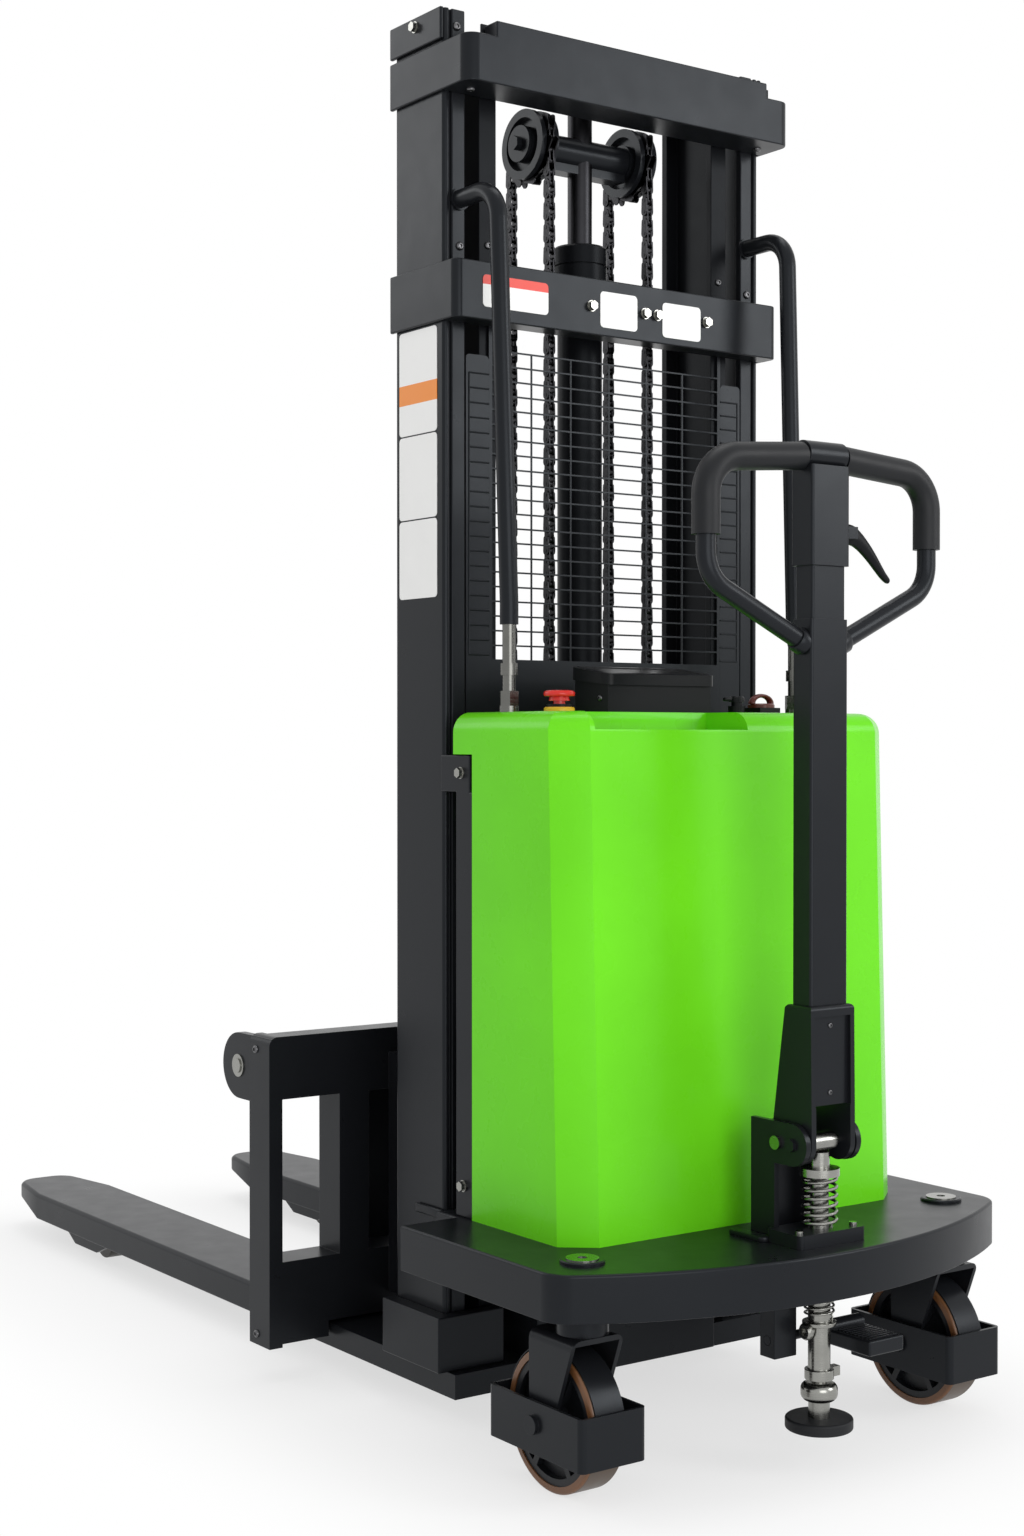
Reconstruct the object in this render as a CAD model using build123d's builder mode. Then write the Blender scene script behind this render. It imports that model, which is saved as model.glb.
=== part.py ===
from build123d import *

import math
import os

# Semi-electric stacker in millimetres: +Z up, +Y along the forks, +X to the right of
# a person at the tiller. The origin is on the floor below the middle of the overall box.

# Clearances shared by the fits
running = 0.05
rub_gap = 0.3
side_play = 1.0
past = 1.0

# Base plate, a tray open below that carries the cover, the tiller and the castors
rear_y = -1000.0
plate_half_width = 389.0
plate_corner_y = -885.0
plate_wing_y = -545.0
plate_neck_half_width = 300.0
plate_top = 291.0
plate_height = 60.0
plate_wall = 8.0
plate_corner_radius = 45.0
plate_edge_radius = 4.0
centre_block_half_width = 60.0
centre_block_front = 55.0

# Fixed outer columns of the mast
column_half_width = 287.0
column_depth = 124.0
column_rear_y = -498.0
column_flange = 35.0
column_web = 9.0
column_flange_wall = 12.0
column_edge_radius = 6.0
column_seam_width = 4.0
column_seam_depth = 5.0
column_seam_inset = 9.0
column_top = 1941.0

# Moving inner rails of the mast
rail_gap = 26.0
rail_inset = 4.0
rail_flange = 29.0
rail_web = 8.0
rail_flange_wall = 12.0
rail_bottom = 92.0
rail_top = 1900.0

# Beams and caps that tie the columns
strap_wall = 6.0
strap_overhang = 5.0
beam_wall = 6.0
top_beam_bottom = 1826.0
top_beam_height = 65.0
top_beam_depth = 67.0
top_beam_corner = 20.0
top_rise_height = 21.0
top_rise_half_width = 245.0
top_rise_depth = 30.0
mid_beam_bottom = 1512.0
mid_beam_height = 80.0
mid_beam_depth = 37.0
mid_beam_corner = 12.0
cap_height = 44.0

# Guard of wire mesh above a plain panel
guard_half_width = 212.0
guard_thickness = 2.0
guard_overlap = 8.0
mesh_bottom = 1049.0
mesh_drop = 32.0
mesh_rim = 6.0
mesh_wire = 2.4
mesh_columns = 6
mesh_rows = 21

# Forks
fork_centre_x = 228.0
fork_width = 152.0
fork_lip = 6.0
fork_plate = 8.0
fork_top = 88.0
fork_height = 46.0
fork_tip_y = 1000.0
fork_taper = 150.0
fork_tip_inset = 26.0
fork_tip_radius = 40.0
fork_nose = 22.0
fork_bevel = 5.0
fork_solid_nose = 60.0
shank_width = 98.0
shank_depth = 40.0
shank_rib = 22.0
shank_rib_height = 60.0
eye_radius = 40.0

# Legs and load rollers
leg_side_clearance = 4.0
leg_top = 72.0
leg_height = 34.0
leg_wall = 8.0
leg_rear_y = -535.0
leg_end = 75.0
load_roller_y = 655.0
load_roller_radius = 37.0
load_roller_width = 60.0
load_roller_gap = 5.0
load_axle_radius = 8.0
load_spacer_radius = 14.0
cheek_drop = 16.0
cheek_half_foot = 45.0
cheek_half_length = 85.0

# Cross member below the mast and foot blocks round the columns
cross_rear_y = -545.0
cross_front_y = -386.0
cross_bottom = 40.0
cross_top = 130.0
cross_wall = 8.0
cross_post_width = 12.0
cross_post_x = 142.0
foot_side = 23.0
foot_rear = 20.0
foot_inner_x = 200.0
foot_top = 148.0

# Lift cylinder, crosshead, sheaves and chains
lift_offset = 8.0
barrel_radius = 33.0
barrel_bore = 26.0
barrel_floor = 15.0
gland_drop = 197.0
gland_height = 60.0
gland_radius = 40.0
gland_edge = 3.0
gland_groove = 3.0
rod_radius = 18.0
piston_height = 40.0
piston_lift = 5.0
crosshead_drop = 103.0
crosshead_radius = 22.0
crosshead_bar_drop = 32.0
crosshead_bar_height = 12.0
crosshead_bar_depth = 26.0
retainer_radius = 26.0
retainer_thickness = 5.0
nut_across = 18.0
nut_height = 9.0
sheave_x = 90.0
sheave_width = 30.0
sheave_radius = 50.0
sheave_groove_radius = 40.0
sheave_groove_width = 14.0
sheave_hub_radius = 26.0
sheave_recess = 9.0
sheave_rim = 12.0
sheave_slot_width = 6.0
sheave_slot_angle = 60.0
sheave_slots = 3
chain_width = 12.0
chain_thickness = 12.0
anchor_top = 715.0
anchor_height = 26.0
anchor_half_width = 106.0

# Cross members of the inner mast
inner_top_height = 22.0
inner_top_depth = 60.0
inner_low_bottom = 140.0
inner_low_height = 60.0

# Guide rollers of the inner mast and of the carriage
roller_play = 0.2
roller_axle_radius = 12.0
roller_edge = 2.0
mast_roller_width = 25.0
mast_spacer_radius = 20.0
mast_roller_z = 160.0
carriage_roller_width = 21.0
carriage_roller_low_z = 152.0
carriage_roller_high_z = 420.0

# Fork carriage
carriage_half_width = 400.0
carriage_rear_y = -210.0
carriage_depth = 60.0
carriage_bottom = 50.0
carriage_top = 505.0
upright_width = 22.0
upright_corner_radius = 14.0
top_bar_height = 92.0
top_bar_depth = 45.0
low_bar_bottom = 55.0
low_bar_height = 120.0
inner_upright_x = 230.0
inner_upright_width = 51.0
leg_notch_gap = 6.0
roller_plate_gap = 2.0
roller_plate_wall = 12.0
roller_plate_bottom = 106.0
roller_plate_top = 468.0
roller_plate_rear_gap = 12.0
chain_bar_top = 430.0
chain_bar_height = 25.0
chain_bar_depth = 22.0
chain_bar_gap = 2.0
chain_lug_half_width = 15.0
lug_radius = 49.0
lug_wall = 14.0
lug_set_in = 4.0
fork_shaft_radius = 18.0
fork_shaft_gap = 40.0
fork_shaft_z = 453.0
shaft_head_radius = 11.0
shaft_washer_radius = 17.0
shaft_washer = 2.0

# Cover and its frame
cover_half_width = 295.0
cover_rear_y = -802.0
cover_lean = 20.0
cover_chamfer_x = 42.0
cover_chamfer_y = 34.0
cover_front_gap = 34.0
cover_top = 975.0
cover_top_radius = 28.0
cover_wall = 4.0
pocket_left = -245.0
pocket_right = 15.0
pocket_front_y = -696.0
pocket_drop = 24.0
cover_notch = 45.0
cover_notch_drop = 57.0
frame_wall = 6.0
frame_set_in = 2.0
frame_front_gap = 3.0
bracket_height = 51.0
bracket_rear_set = 9.0
bracket_foot_width = 38.0
panel_bar_height = 30.0
panel_bar_depth = 10.0
shelf_bottom = 540.0
shelf_wall = 8.0
shelf_front_y = -560.0
shelf_corner_gap = 8.0

# Pieces under the cover
inside_y = -665.0
battery_width = 215.0
battery_gap = 30.0
battery_depth = 165.0
battery_height = 225.0
terminal_radius = 9.0
terminal_height = 14.0
terminal_inset = 40.0
tank_width = 200.0
tank_depth = 150.0
tank_height = 240.0
tank_x = -130.0
tank_cap_radius = 22.0
tank_cap_height = 18.0
tank_edge_radius = 12.0
motor_x = 120.0
motor_radius = 56.0
motor_height = 190.0
valve_width = 100.0
valve_height = 70.0

# Instrument box and switches on the cover
box_x_low = -148.0
box_width = 181.0
box_rear_y = -685.0
box_depth = 73.0
box_height = 45.0
box_wall = 3.0
lid_height = 18.0
lid_overhang = 6.0
lid_corner_radius = 14.0
lid_edge_radius = 6.0
hinge_radius = 4.0
hinge_pin_radius = 2.0
hinge_gap = 1.0
hinge_half_length = 45.0
hinge_ear = 10.0
hinge_leaf = 4.0
estop_x = -222.0
estop_y = -675.0
estop_base_radius = 17.0
estop_base_height = 10.0
estop_stem_radius = 8.0
estop_travel = 4.0
estop_head_radius = 21.0
estop_head_height = 14.0
estop_head_edge = 5.0
switch_y = -680.0
key_x = 85.0
key_base_radius = 12.0
key_base_height = 10.0
key_hub_radius = 7.0
key_hub_height = 6.0
key_bow_radius = 11.0
key_bow_wall = 4.0
key_bow_hole = 4.0
isolator_x = 131.0
isolator_base = 38.0
isolator_base_height = 8.0
isolator_hub_radius = 9.0
isolator_hub_height = 7.0
isolator_bar_length = 44.0
isolator_bar_width = 10.0
isolator_bar_height = 13.0

# Grab rails beside the mast and their fittings on the cover
grab_radius = 12.5
grab_foot_x = 262.0
grab_foot_z = 1681.0
grab_stand_off = 92.0
grab_low_x = 258.0
grab_lean = 21.0
grab_low_z = 1092.0
grab_straight = 28.0
grab_bend = 45.0
grab_flange_radius = 15.0
grab_flange = 4.0
fitting_flange_radius = 13.0
fitting_flange_height = 8.0
fitting_nut_across = 24.0
fitting_nut_height = 20.0
fitting_neck_radius = 9.0
fitting_collar_radius = 12.0
fitting_collar_height = 16.0
fitting_collar_drop = 52.0

# Tiller bracket and pivot
tiller_y = -938.0
pivot_offset = 28.0
pivot_z = 420.0
pivot_radius = 8.0
pivot_head_radius = 9.0
pivot_head = 5.0
mount_half_width = 58.0
mount_rear = 27.0
mount_front = 39.0
mount_height = 18.0
mount_corner_radius = 8.0
post_wall = 8.0
post_depth = 45.0
post_front = 78.0
post_height = 149.0
bracket_wall = 8.0
bracket_lug_radius = 27.0
lug_screw_across = 15.0
lug_screw_height = 5.0

# Tiller
yoke_half_width = 38.0
yoke_wall = 8.0
yoke_side_gap = 2.0
yoke_top = 598.0
yoke_half_top = 24.0
yoke_rear = 26.0
yoke_front = 50.0
yoke_eye_radius = 22.0
yoke_corner_radius = 6.0
yoke_opening = 50.0
yoke_recess = 5.0
yoke_recess_margin = 7.0
tiller_roller_radius = 12.5
tiller_roller_half = 20.0
tiller_pin_radius = 6.0
arm_half_width = 32.0
arm_half_depth = 18.0
arm_top = 1092.0
arm_wall = 5.0
arm_edge_radius = 4.0
neck_half_width = 29.0
neck_half_depth = 16.0
neck_top = 1160.0
head_half_width = 33.0
head_half_depth = 20.0
head_top = 1288.0
loop_radius = 12.5
loop_half_width = 193.0
loop_low_z = 1047.0
loop_side_low_z = 1139.0
loop_side_top_z = 1287.0
loop_top_z = 1302.0
loop_bend = 50.0
grip_radius = 18.0
grip_low_z = 1191.0
grip_end_gap = 2.0
lever_x = 47.0
lever_z = 1205.0
lever_hub_radius = 10.0
lever_half_depth = 8.0
lever_knee_reach = 38.0
lever_knee_drop = 19.0
lever_knee_radius = 8.0
lever_reach = 72.0
lever_drop = 56.0
lever_tip_radius = 4.5
lever_pin_radius = 4.0
lever_ear = 4.0
lever_ear_height = 16.0

# Plunger below the tiller, with its spring
plunger_gap = 0.1
plunger_neck_radius = 13.0
plunger_flange_radius = 26.0
plunger_flange_height = 10.0
plunger_flange_z = 377.0
plunger_stem_radius = 12.0
plunger_stem_bottom = 270.0
spring_radius = 21.5
spring_wire_radius = 2.6
spring_turns = 5
spring_end_bend = 7.0

# Floor lock
sleeve_radius = 14.5
sleeve_bottom = 127.0
sleeve_flange_radius = 26.0
sleeve_flange_height = 6.0
sleeve_ring_radius = 22.0
sleeve_ring_z = 184.0
sleeve_ring_height = 5.0
clamp_radius = 19.0
clamp_height = 13.0
clamp_ear = 13.0
clamp_ear_depth = 12.0
lock_spring_radius = 18.6
lock_spring_wire_radius = 1.5
lock_spring_turns = 3
lock_spring_end_bend = 4.5
lock_stem_radius = 10.0
lock_stem_top = 205.0
bulge_radius = 24.0
bulge_bottom = 86.0
bulge_height = 24.0
bulge_edge = 9.0
collar_radius = 14.0
pad_radius = 44.0
pad_bottom = 50.0
pad_height = 15.0
pad_edge = 3.0
lock_shaft_radius = 6.0
lock_shaft_offset = 33.0
lock_shaft_z = 165.0
lock_bracket_wall = 38.0
lock_bracket_half_depth = 14.0
lock_bracket_drop = 22.0
pedal_gap = 42.0
pedal_width = 62.0
pedal_length = 82.0
pedal_wall = 20.0
pedal_hub_radius = 11.0
pedal_edge = 3.0

# Castors
castor_inset = 72.0
castor_y = -850.0
castor_trail = 33.0
wheel_radius = 90.0
wheel_width = 50.0
core_radius = 80.0
core_width = 46.0
core_recess = 11.0
core_rim = 9.0
core_hub_radius = 24.0
core_spoke_width = 9.0
core_spoke_pairs = 3
tread_edge = 4.0
castor_axle_radius = 8.0
castor_head_radius = 12.0
castor_head = 6.0
kingpin_radius = 12.0
kingpin_boss_radius = 45.0
swivel_radius = 33.0
swivel_height = 26.0
castor_fork_gap = 9.0
castor_fork_wall = 6.0
castor_fork_crown = 8.0
castor_fork_bend = 14.0
castor_fork_rear = 34.0
castor_fork_front = 58.0
castor_fork_foot = 24.0
spacer_radius = 15.0
guard_band_gap = 6.0
guard_band_wall = 5.0
guard_tyre_gap = 3.0
guard_band_low = 53.0
guard_band_height = 66.0
guard_band_corner = 9.0

# Fasteners
bolt_across = 12.0
bolt_height = 6.0
washer_radius = 8.0
washer_height = 2.0
screw_radius = 5.0
screw_height = 4.0
kingpin_cap_radius = 21.0
kingpin_cap_height = 6.0
kingpin_cap_hole = 6.0
beam_bolt_places = (-61.0, 36.0, 59.0, 152.0)
cap_bolt_drop = 14.0
bracket_bolt_drop = 25.0
upright_bolt_rise = 43.0
mount_screw_x = 47.0
mount_screw_y = 13.0

# Places worked out from the sizes above
plate_bottom = plate_top - plate_height
plate_under = plate_top - plate_wall
column_front_y = column_rear_y + column_depth
column_inner = column_half_width - column_flange
mast_y = column_rear_y + column_depth / 2
strap_front_y = column_front_y + strap_overhang
strap_half_width = column_half_width + strap_wall
rail_outer = column_inner - rail_gap
rail_inner = rail_outer - rail_flange
rail_rear_y = column_rear_y + rail_inset
rail_front_y = column_front_y - rail_inset
mast_roller_radius = column_depth / 2 - column_flange_wall - roller_play
carriage_roller_radius = (rail_front_y - rail_rear_y) / 2 - rail_flange_wall - roller_play
lift_y = mast_y + lift_offset
inner_top_bottom = rail_top - inner_top_height
crosshead_z = rail_top - crosshead_drop
gland_bottom = crosshead_z - gland_drop
gland_top = gland_bottom + gland_height
chain_inner_radius = sheave_groove_radius + rub_gap
chain_outer_radius = chain_inner_radius + chain_thickness
sheave_x_range = (sheave_x - sheave_width / 2, sheave_x + sheave_width / 2)
chain_x_range = (sheave_x - chain_width / 2, sheave_x + chain_width / 2)
crosshead_end = sheave_x_range[1] + side_play
top_beam_top = top_beam_bottom + top_beam_height
top_beam_rear_y = column_rear_y - top_beam_depth
mid_beam_top = mid_beam_bottom + mid_beam_height
mid_beam_rear_y = column_rear_y - mid_beam_depth
carriage_front_y = carriage_rear_y + carriage_depth
carriage_y_range = (carriage_rear_y, carriage_front_y)
upright_inner = carriage_half_width - upright_width
lug_outer = carriage_half_width - lug_set_in
lug_inner = lug_outer - lug_wall
fork_shaft_y = carriage_front_y + fork_shaft_gap
fork_bottom = fork_top - fork_height
fork_inner = fork_centre_x - fork_width / 2
fork_outer = fork_centre_x + fork_width / 2
leg_half = fork_width / 2 - fork_lip - leg_side_clearance
leg_x_range = (fork_centre_x - leg_half, fork_centre_x + leg_half)
leg_bottom = leg_top - leg_height
leg_front_y = load_roller_y + leg_end
mast_roller_end = column_half_width - column_web - side_play
mast_roller_x = (mast_roller_end - mast_roller_width, mast_roller_end)
roller_plate_outer = rail_inner - roller_plate_gap
roller_plate_inner = roller_plate_outer - roller_plate_wall
cover_front_y = column_rear_y - cover_front_gap
cover_notch_y = cover_front_y - cover_notch
cover_notch_top = cover_top - cover_notch_drop
frame_outer = cover_half_width - frame_set_in
frame_inner = frame_outer - frame_wall
bracket_bottom = cover_notch_top - bracket_height
bracket_rear_y = cover_notch_y + bracket_rear_set
guard_bottom = bracket_bottom + panel_bar_depth
guard_top = mid_beam_bottom + guard_overlap
shelf_top = shelf_bottom + shelf_wall
box_x_range = (box_x_low, box_x_low + box_width)
box_y_range = (box_rear_y, box_rear_y + box_depth)
box_top = cover_top + box_height
hinge_y = box_y_range[1] + hinge_gap + hinge_radius
hinge_z = box_top - hinge_gap - hinge_radius
hinge_middle = (box_x_range[0] + box_x_range[1]) / 2
grab_y = column_rear_y - grab_stand_off
grab_low_y = grab_y - grab_lean
pivot_y = tiller_y + pivot_offset
mount_top = plate_top + mount_height
post_front_y = tiller_y + post_front
bracket_outer = yoke_half_width + yoke_side_gap + bracket_wall
yoke_opening_top = pivot_z + yoke_opening
lever_pin_end = lever_half_depth + rub_gap + lever_ear
pad_top = pad_bottom + pad_height
lock_shaft_y = tiller_y + lock_shaft_offset
lock_bracket_end = lock_bracket_wall - centre_block_half_width
castor_x = plate_half_width - castor_inset
castor_axle_y = castor_y + castor_trail
swivel_top = plate_bottom - rub_gap
swivel_bottom = swivel_top - swivel_height
castor_fork_inner = wheel_width / 2 + castor_fork_gap
castor_fork_outer = castor_fork_inner + castor_fork_wall
guard_band_inner = castor_fork_outer + guard_band_gap
guard_band_outer = guard_band_inner + guard_band_wall


def block(x, y, z, mode=Mode.ADD):
    """Rectangular block between two limits along each axis."""
    with Locations(((x[0] + x[1]) / 2, (y[0] + y[1]) / 2, (z[0] + z[1]) / 2)):
        Box(x[1] - x[0], y[1] - y[0], z[1] - z[0], mode=mode)


def bar(start, direction, radius, length, mode=Mode.ADD):
    """Round bar that runs from a start point along a direction."""
    with Locations(Plane(origin=start, z_dir=direction)):
        Cylinder(radius, length, align=(Align.CENTER, Align.CENTER, Align.MIN), mode=mode)


def upright(x, y, z, radius, mode=Mode.ADD):
    """Vertical round bar between two heights."""
    bar((x, y, z[0]), (0, 0, 1), radius, z[1] - z[0], mode)


def crosswise(x, y, z, radius, mode=Mode.ADD):
    """Round bar along X between two limits."""
    bar((x[0], y, z), (1, 0, 0), radius, x[1] - x[0], mode)


def hex_bar(start, direction, across, length):
    """Six-sided bar that runs from a start point along a direction."""
    with BuildSketch(Plane(origin=start, z_dir=direction)) as outline:
        RegularPolygon(across / 2, 6, major_radius=False)
    extrude(outline.sketch, amount=length)


def side_plane(x, y=0, z=0):
    """Plane across X whose own axes run along Y and Z."""
    return Plane(origin=(x, y, z), x_dir=(0, 1, 0), z_dir=(1, 0, 0))


def side_profile(points, x, mode=Mode.ADD):
    """Outline of (y, z) points, carried along X between two limits."""
    with BuildSketch(side_plane(x[0])) as outline:
        with BuildLine():
            Polyline(*points, close=True)
        make_face()
    extrude(outline.sketch, amount=x[1] - x[0], mode=mode)


def channel(x, y, z, web, flange_wall):
    """Channel section on the right of the mast, open towards its middle."""
    block(x, y, z)
    inside_y_range = (y[0] + flange_wall, y[1] - flange_wall)
    block((x[0] - past, x[1] - web), inside_y_range, (z[0] - past, z[1] + past), Mode.SUBTRACT)


def bolt(start, direction):
    """Hexagon head on a washer, seated at a start point and facing a direction."""
    head_start = Vector(start) + Vector(direction) * washer_height
    bar(start, direction, washer_radius, washer_height)
    hex_bar(head_start, direction, bolt_across, bolt_height)


def spring_path(x, y, z, radius, turns, wire_radius, bend):
    """Centre line of a coil spring whose straight ends stand square on both seats."""
    wire = 2 * wire_radius
    lead = 0.0
    for _ in range(6):
        coil_height = z[1] - z[0] - 2 * wire - 2 * bend * math.cos(lead)
        lead = math.atan2(coil_height, 2 * math.pi * radius * turns)
    coil_low = z[0] + wire + bend * math.cos(lead)
    quarters = 4 * turns
    up = Vector(0, 0, 1)

    def around(k):
        return Vector(-math.sin(k * math.pi / 2), math.cos(k * math.pi / 2), 0)

    def point(k):
        out = Vector(math.cos(k * math.pi / 2), math.sin(k * math.pi / 2), 0)
        return Vector(x, y, coil_low + coil_height * k / quarters) + out * radius

    def tangent(k):
        return around(k) * math.cos(lead) + up * math.sin(lead)

    run = bend * (1 - math.sin(lead))
    rise = bend * math.cos(lead)
    low_end = point(0) - around(0) * run - up * rise
    high_end = point(quarters) + around(quarters) * run + up * rise
    Line(low_end - up * wire, low_end)
    TangentArc(low_end, point(0), tangent=up)
    for k in range(quarters):
        chord = point(k + 1) - point(k)
        turn = 2 * (1 - tangent(k).dot(tangent(k + 1)))
        ahead = chord.dot(tangent(k) + tangent(k + 1))
        reach = (math.sqrt(ahead**2 + turn * chord.dot(chord)) - ahead) / turn
        corner = point(k) + tangent(k) * reach
        next_corner = point(k + 1) - tangent(k + 1) * reach
        middle = (corner + next_corner) * 0.5
        TangentArc(point(k), middle, tangent=tangent(k))
        TangentArc(middle, point(k + 1), tangent=next_corner - corner)
    TangentArc(point(quarters), high_end, tangent=tangent(quarters))
    Line(high_end, high_end + up * wire)


def least_gap(path, turns, wire_radius):
    """Least gap between the turns of a wire, measured on points of its centre line."""
    count = 60 * turns
    half_turn = count // (turns + 1) // 2
    points = [path @ (i / count) for i in range(count + 1)]
    pairs = ((i, j) for i in range(count + 1) for j in range(i + half_turn, count + 1))
    return min((points[i] - points[j]).length for i, j in pairs) - 2 * wire_radius


def sweep_round(path, radius, bore=0.0):
    """Sweeps a round bar, or a tube, along a path."""
    with BuildSketch(Plane(origin=path @ 0, z_dir=path % 0)) as section:
        Circle(radius)
        if bore:
            Circle(bore, mode=Mode.SUBTRACT)
    sweep(section.sketch, path=path)


def finish(piece, name):
    """Labels a finished piece and writes it."""
    piece.part.label = name
    export_step(piece.part, f"parts/{name}.step")


os.makedirs("parts", exist_ok=True)

# Base plate: bowed rear edge, hollow below, with bosses for what it carries
with BuildPart() as base_plate:
    with BuildSketch(Plane.XY.offset(plate_bottom)) as plate_outline:
        with BuildLine():
            Polyline(
                (-plate_half_width, plate_corner_y),
                (-plate_half_width, plate_wing_y),
                (-plate_neck_half_width, plate_wing_y),
                (-plate_neck_half_width, column_rear_y),
                (plate_neck_half_width, column_rear_y),
                (plate_neck_half_width, plate_wing_y),
                (plate_half_width, plate_wing_y),
                (plate_half_width, plate_corner_y),
            )
            ThreePointArc(
                (plate_half_width, plate_corner_y), (0, rear_y), (-plate_half_width, plate_corner_y)
            )
        make_face()
        fillet(plate_outline.vertices().group_by(Axis.Y)[0], plate_corner_radius)
    extrude(amount=plate_height)
    fillet(base_plate.faces().sort_by(Axis.Z)[-1].edges(), plate_edge_radius)
    with BuildSketch(Plane.XY.offset(plate_bottom)):
        add(plate_outline.sketch_local)
        offset(amount=-plate_wall, kind=Kind.INTERSECTION)
    extrude(amount=plate_height - plate_wall, mode=Mode.SUBTRACT)
    boss_z = (plate_bottom, plate_under)
    for boss_x in (-castor_x, castor_x):
        upright(boss_x, castor_y, boss_z, kingpin_boss_radius)
        upright(boss_x, castor_y, boss_z, kingpin_radius + running, Mode.SUBTRACT)
    centre_x_range = (-centre_block_half_width, centre_block_half_width)
    block(centre_x_range, (rear_y + plate_wall, tiller_y + centre_block_front), boss_z)
    lock_bracket_y = (lock_shaft_y - lock_bracket_half_depth, lock_shaft_y + lock_bracket_half_depth)
    lock_bracket_z = (lock_shaft_z - lock_bracket_drop, plate_bottom)
    block((-centre_block_half_width, lock_bracket_end), lock_bracket_y, lock_bracket_z)
    lock_bore_x = (-centre_block_half_width - past, lock_bracket_end + past)
    crosswise(lock_bore_x, lock_shaft_y, lock_shaft_z, lock_shaft_radius + running, Mode.SUBTRACT)
    stem_hole_z = (plate_bottom - past, plate_top + past)
    upright(0, tiller_y, stem_hole_z, plunger_stem_radius + rub_gap, Mode.SUBTRACT)
finish(base_plate, "base_plate")

# Straddle legs: inverted channels with deeper cheeks and an axle for the load roller
with BuildPart() as legs:
    block(leg_x_range, (leg_rear_y, leg_front_y), (leg_bottom, leg_top))
    block(
        (leg_x_range[0] + leg_wall, leg_x_range[1] - leg_wall),
        (leg_rear_y + leg_wall, leg_front_y - leg_wall),
        (leg_bottom - past, leg_top - leg_wall),
        Mode.SUBTRACT,
    )
    for cheek_x in (leg_x_range[0], leg_x_range[1] - leg_wall):
        side_profile(
            [
                (load_roller_y - cheek_half_length, leg_bottom),
                (load_roller_y - cheek_half_foot, leg_bottom - cheek_drop),
                (load_roller_y + cheek_half_foot, leg_bottom - cheek_drop),
                (leg_front_y, leg_bottom),
                (leg_front_y, leg_top - leg_wall),
                (load_roller_y - cheek_half_length, leg_top - leg_wall),
            ],
            (cheek_x, cheek_x + leg_wall),
        )
    slot_half = load_roller_width / 2 + load_roller_gap
    slot_reach = load_roller_radius + load_roller_gap
    block(
        (fork_centre_x - slot_half, fork_centre_x + slot_half),
        (load_roller_y - slot_reach, load_roller_y + slot_reach),
        (leg_top - leg_wall - past, leg_top + past),
        Mode.SUBTRACT,
    )
    crosswise(leg_x_range, load_roller_y, load_roller_radius, load_axle_radius)
    spacer_end = load_roller_width / 2 + side_play
    for spacer_x in (
        (leg_x_range[0], fork_centre_x - spacer_end),
        (fork_centre_x + spacer_end, leg_x_range[1]),
    ):
        crosswise(spacer_x, load_roller_y, load_roller_radius, load_spacer_radius)
    mirror(about=Plane.YZ)
finish(legs, "legs")

# Load rollers at the leg ends
with BuildPart() as load_rollers:
    load_roller_x = (fork_centre_x - load_roller_width / 2, fork_centre_x + load_roller_width / 2)
    crosswise(load_roller_x, load_roller_y, load_roller_radius, load_roller_radius)
    fillet(load_rollers.edges().filter_by(GeomType.CIRCLE), roller_edge)
    load_bore = load_axle_radius + running
    crosswise(load_roller_x, load_roller_y, load_roller_radius, load_bore, Mode.SUBTRACT)
    mirror(about=Plane.YZ)
finish(load_rollers, "load_rollers")

# Cross member between the legs, with posts that prop the base plate
with BuildPart() as rear_cross_member:
    cross_half = leg_x_range[0]
    block((-cross_half, cross_half), (cross_rear_y, cross_front_y), (cross_bottom, cross_top))
    block(
        (-cross_half + cross_wall, cross_half - cross_wall),
        (cross_rear_y + cross_wall, cross_front_y - cross_wall),
        (cross_bottom - past, cross_top - cross_wall),
        Mode.SUBTRACT,
    )
    for post_x in (-cross_post_x, cross_post_x - cross_post_width):
        post_x_range = (post_x, post_x + cross_post_width)
        block(post_x_range, (cross_rear_y, column_rear_y), (cross_top, plate_bottom))
finish(rear_cross_member, "rear_cross_member")

# Foot blocks that brace the columns on the legs
with BuildPart() as foot_blocks:
    foot_x = (foot_inner_x, column_half_width + foot_side)
    block(foot_x, (column_rear_y - foot_rear, column_front_y), (leg_top, foot_top))
    block(
        (foot_inner_x - past, column_half_width),
        (column_rear_y, column_front_y + past),
        (leg_top - past, foot_top + past),
        Mode.SUBTRACT,
    )
    mirror(about=Plane.YZ)
finish(foot_blocks, "foot_blocks")

# Fixed outer columns, each with a seam down its rear face
with BuildPart() as columns:
    column_x = (column_inner, column_half_width)
    column_y = (column_rear_y, column_front_y)
    channel(column_x, column_y, (leg_top, column_top), column_web, column_flange_wall)
    fillet(columns.edges().filter_by(Axis.Z).group_by(Axis.X)[-1], column_edge_radius)
    seam_end = column_half_width - column_seam_inset
    seam_y = (column_rear_y - past, column_rear_y + column_seam_depth)
    block((seam_end - column_seam_width, seam_end), seam_y, (leg_top, column_top), Mode.SUBTRACT)
    mirror(about=Plane.YZ)
finish(columns, "columns")


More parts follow.
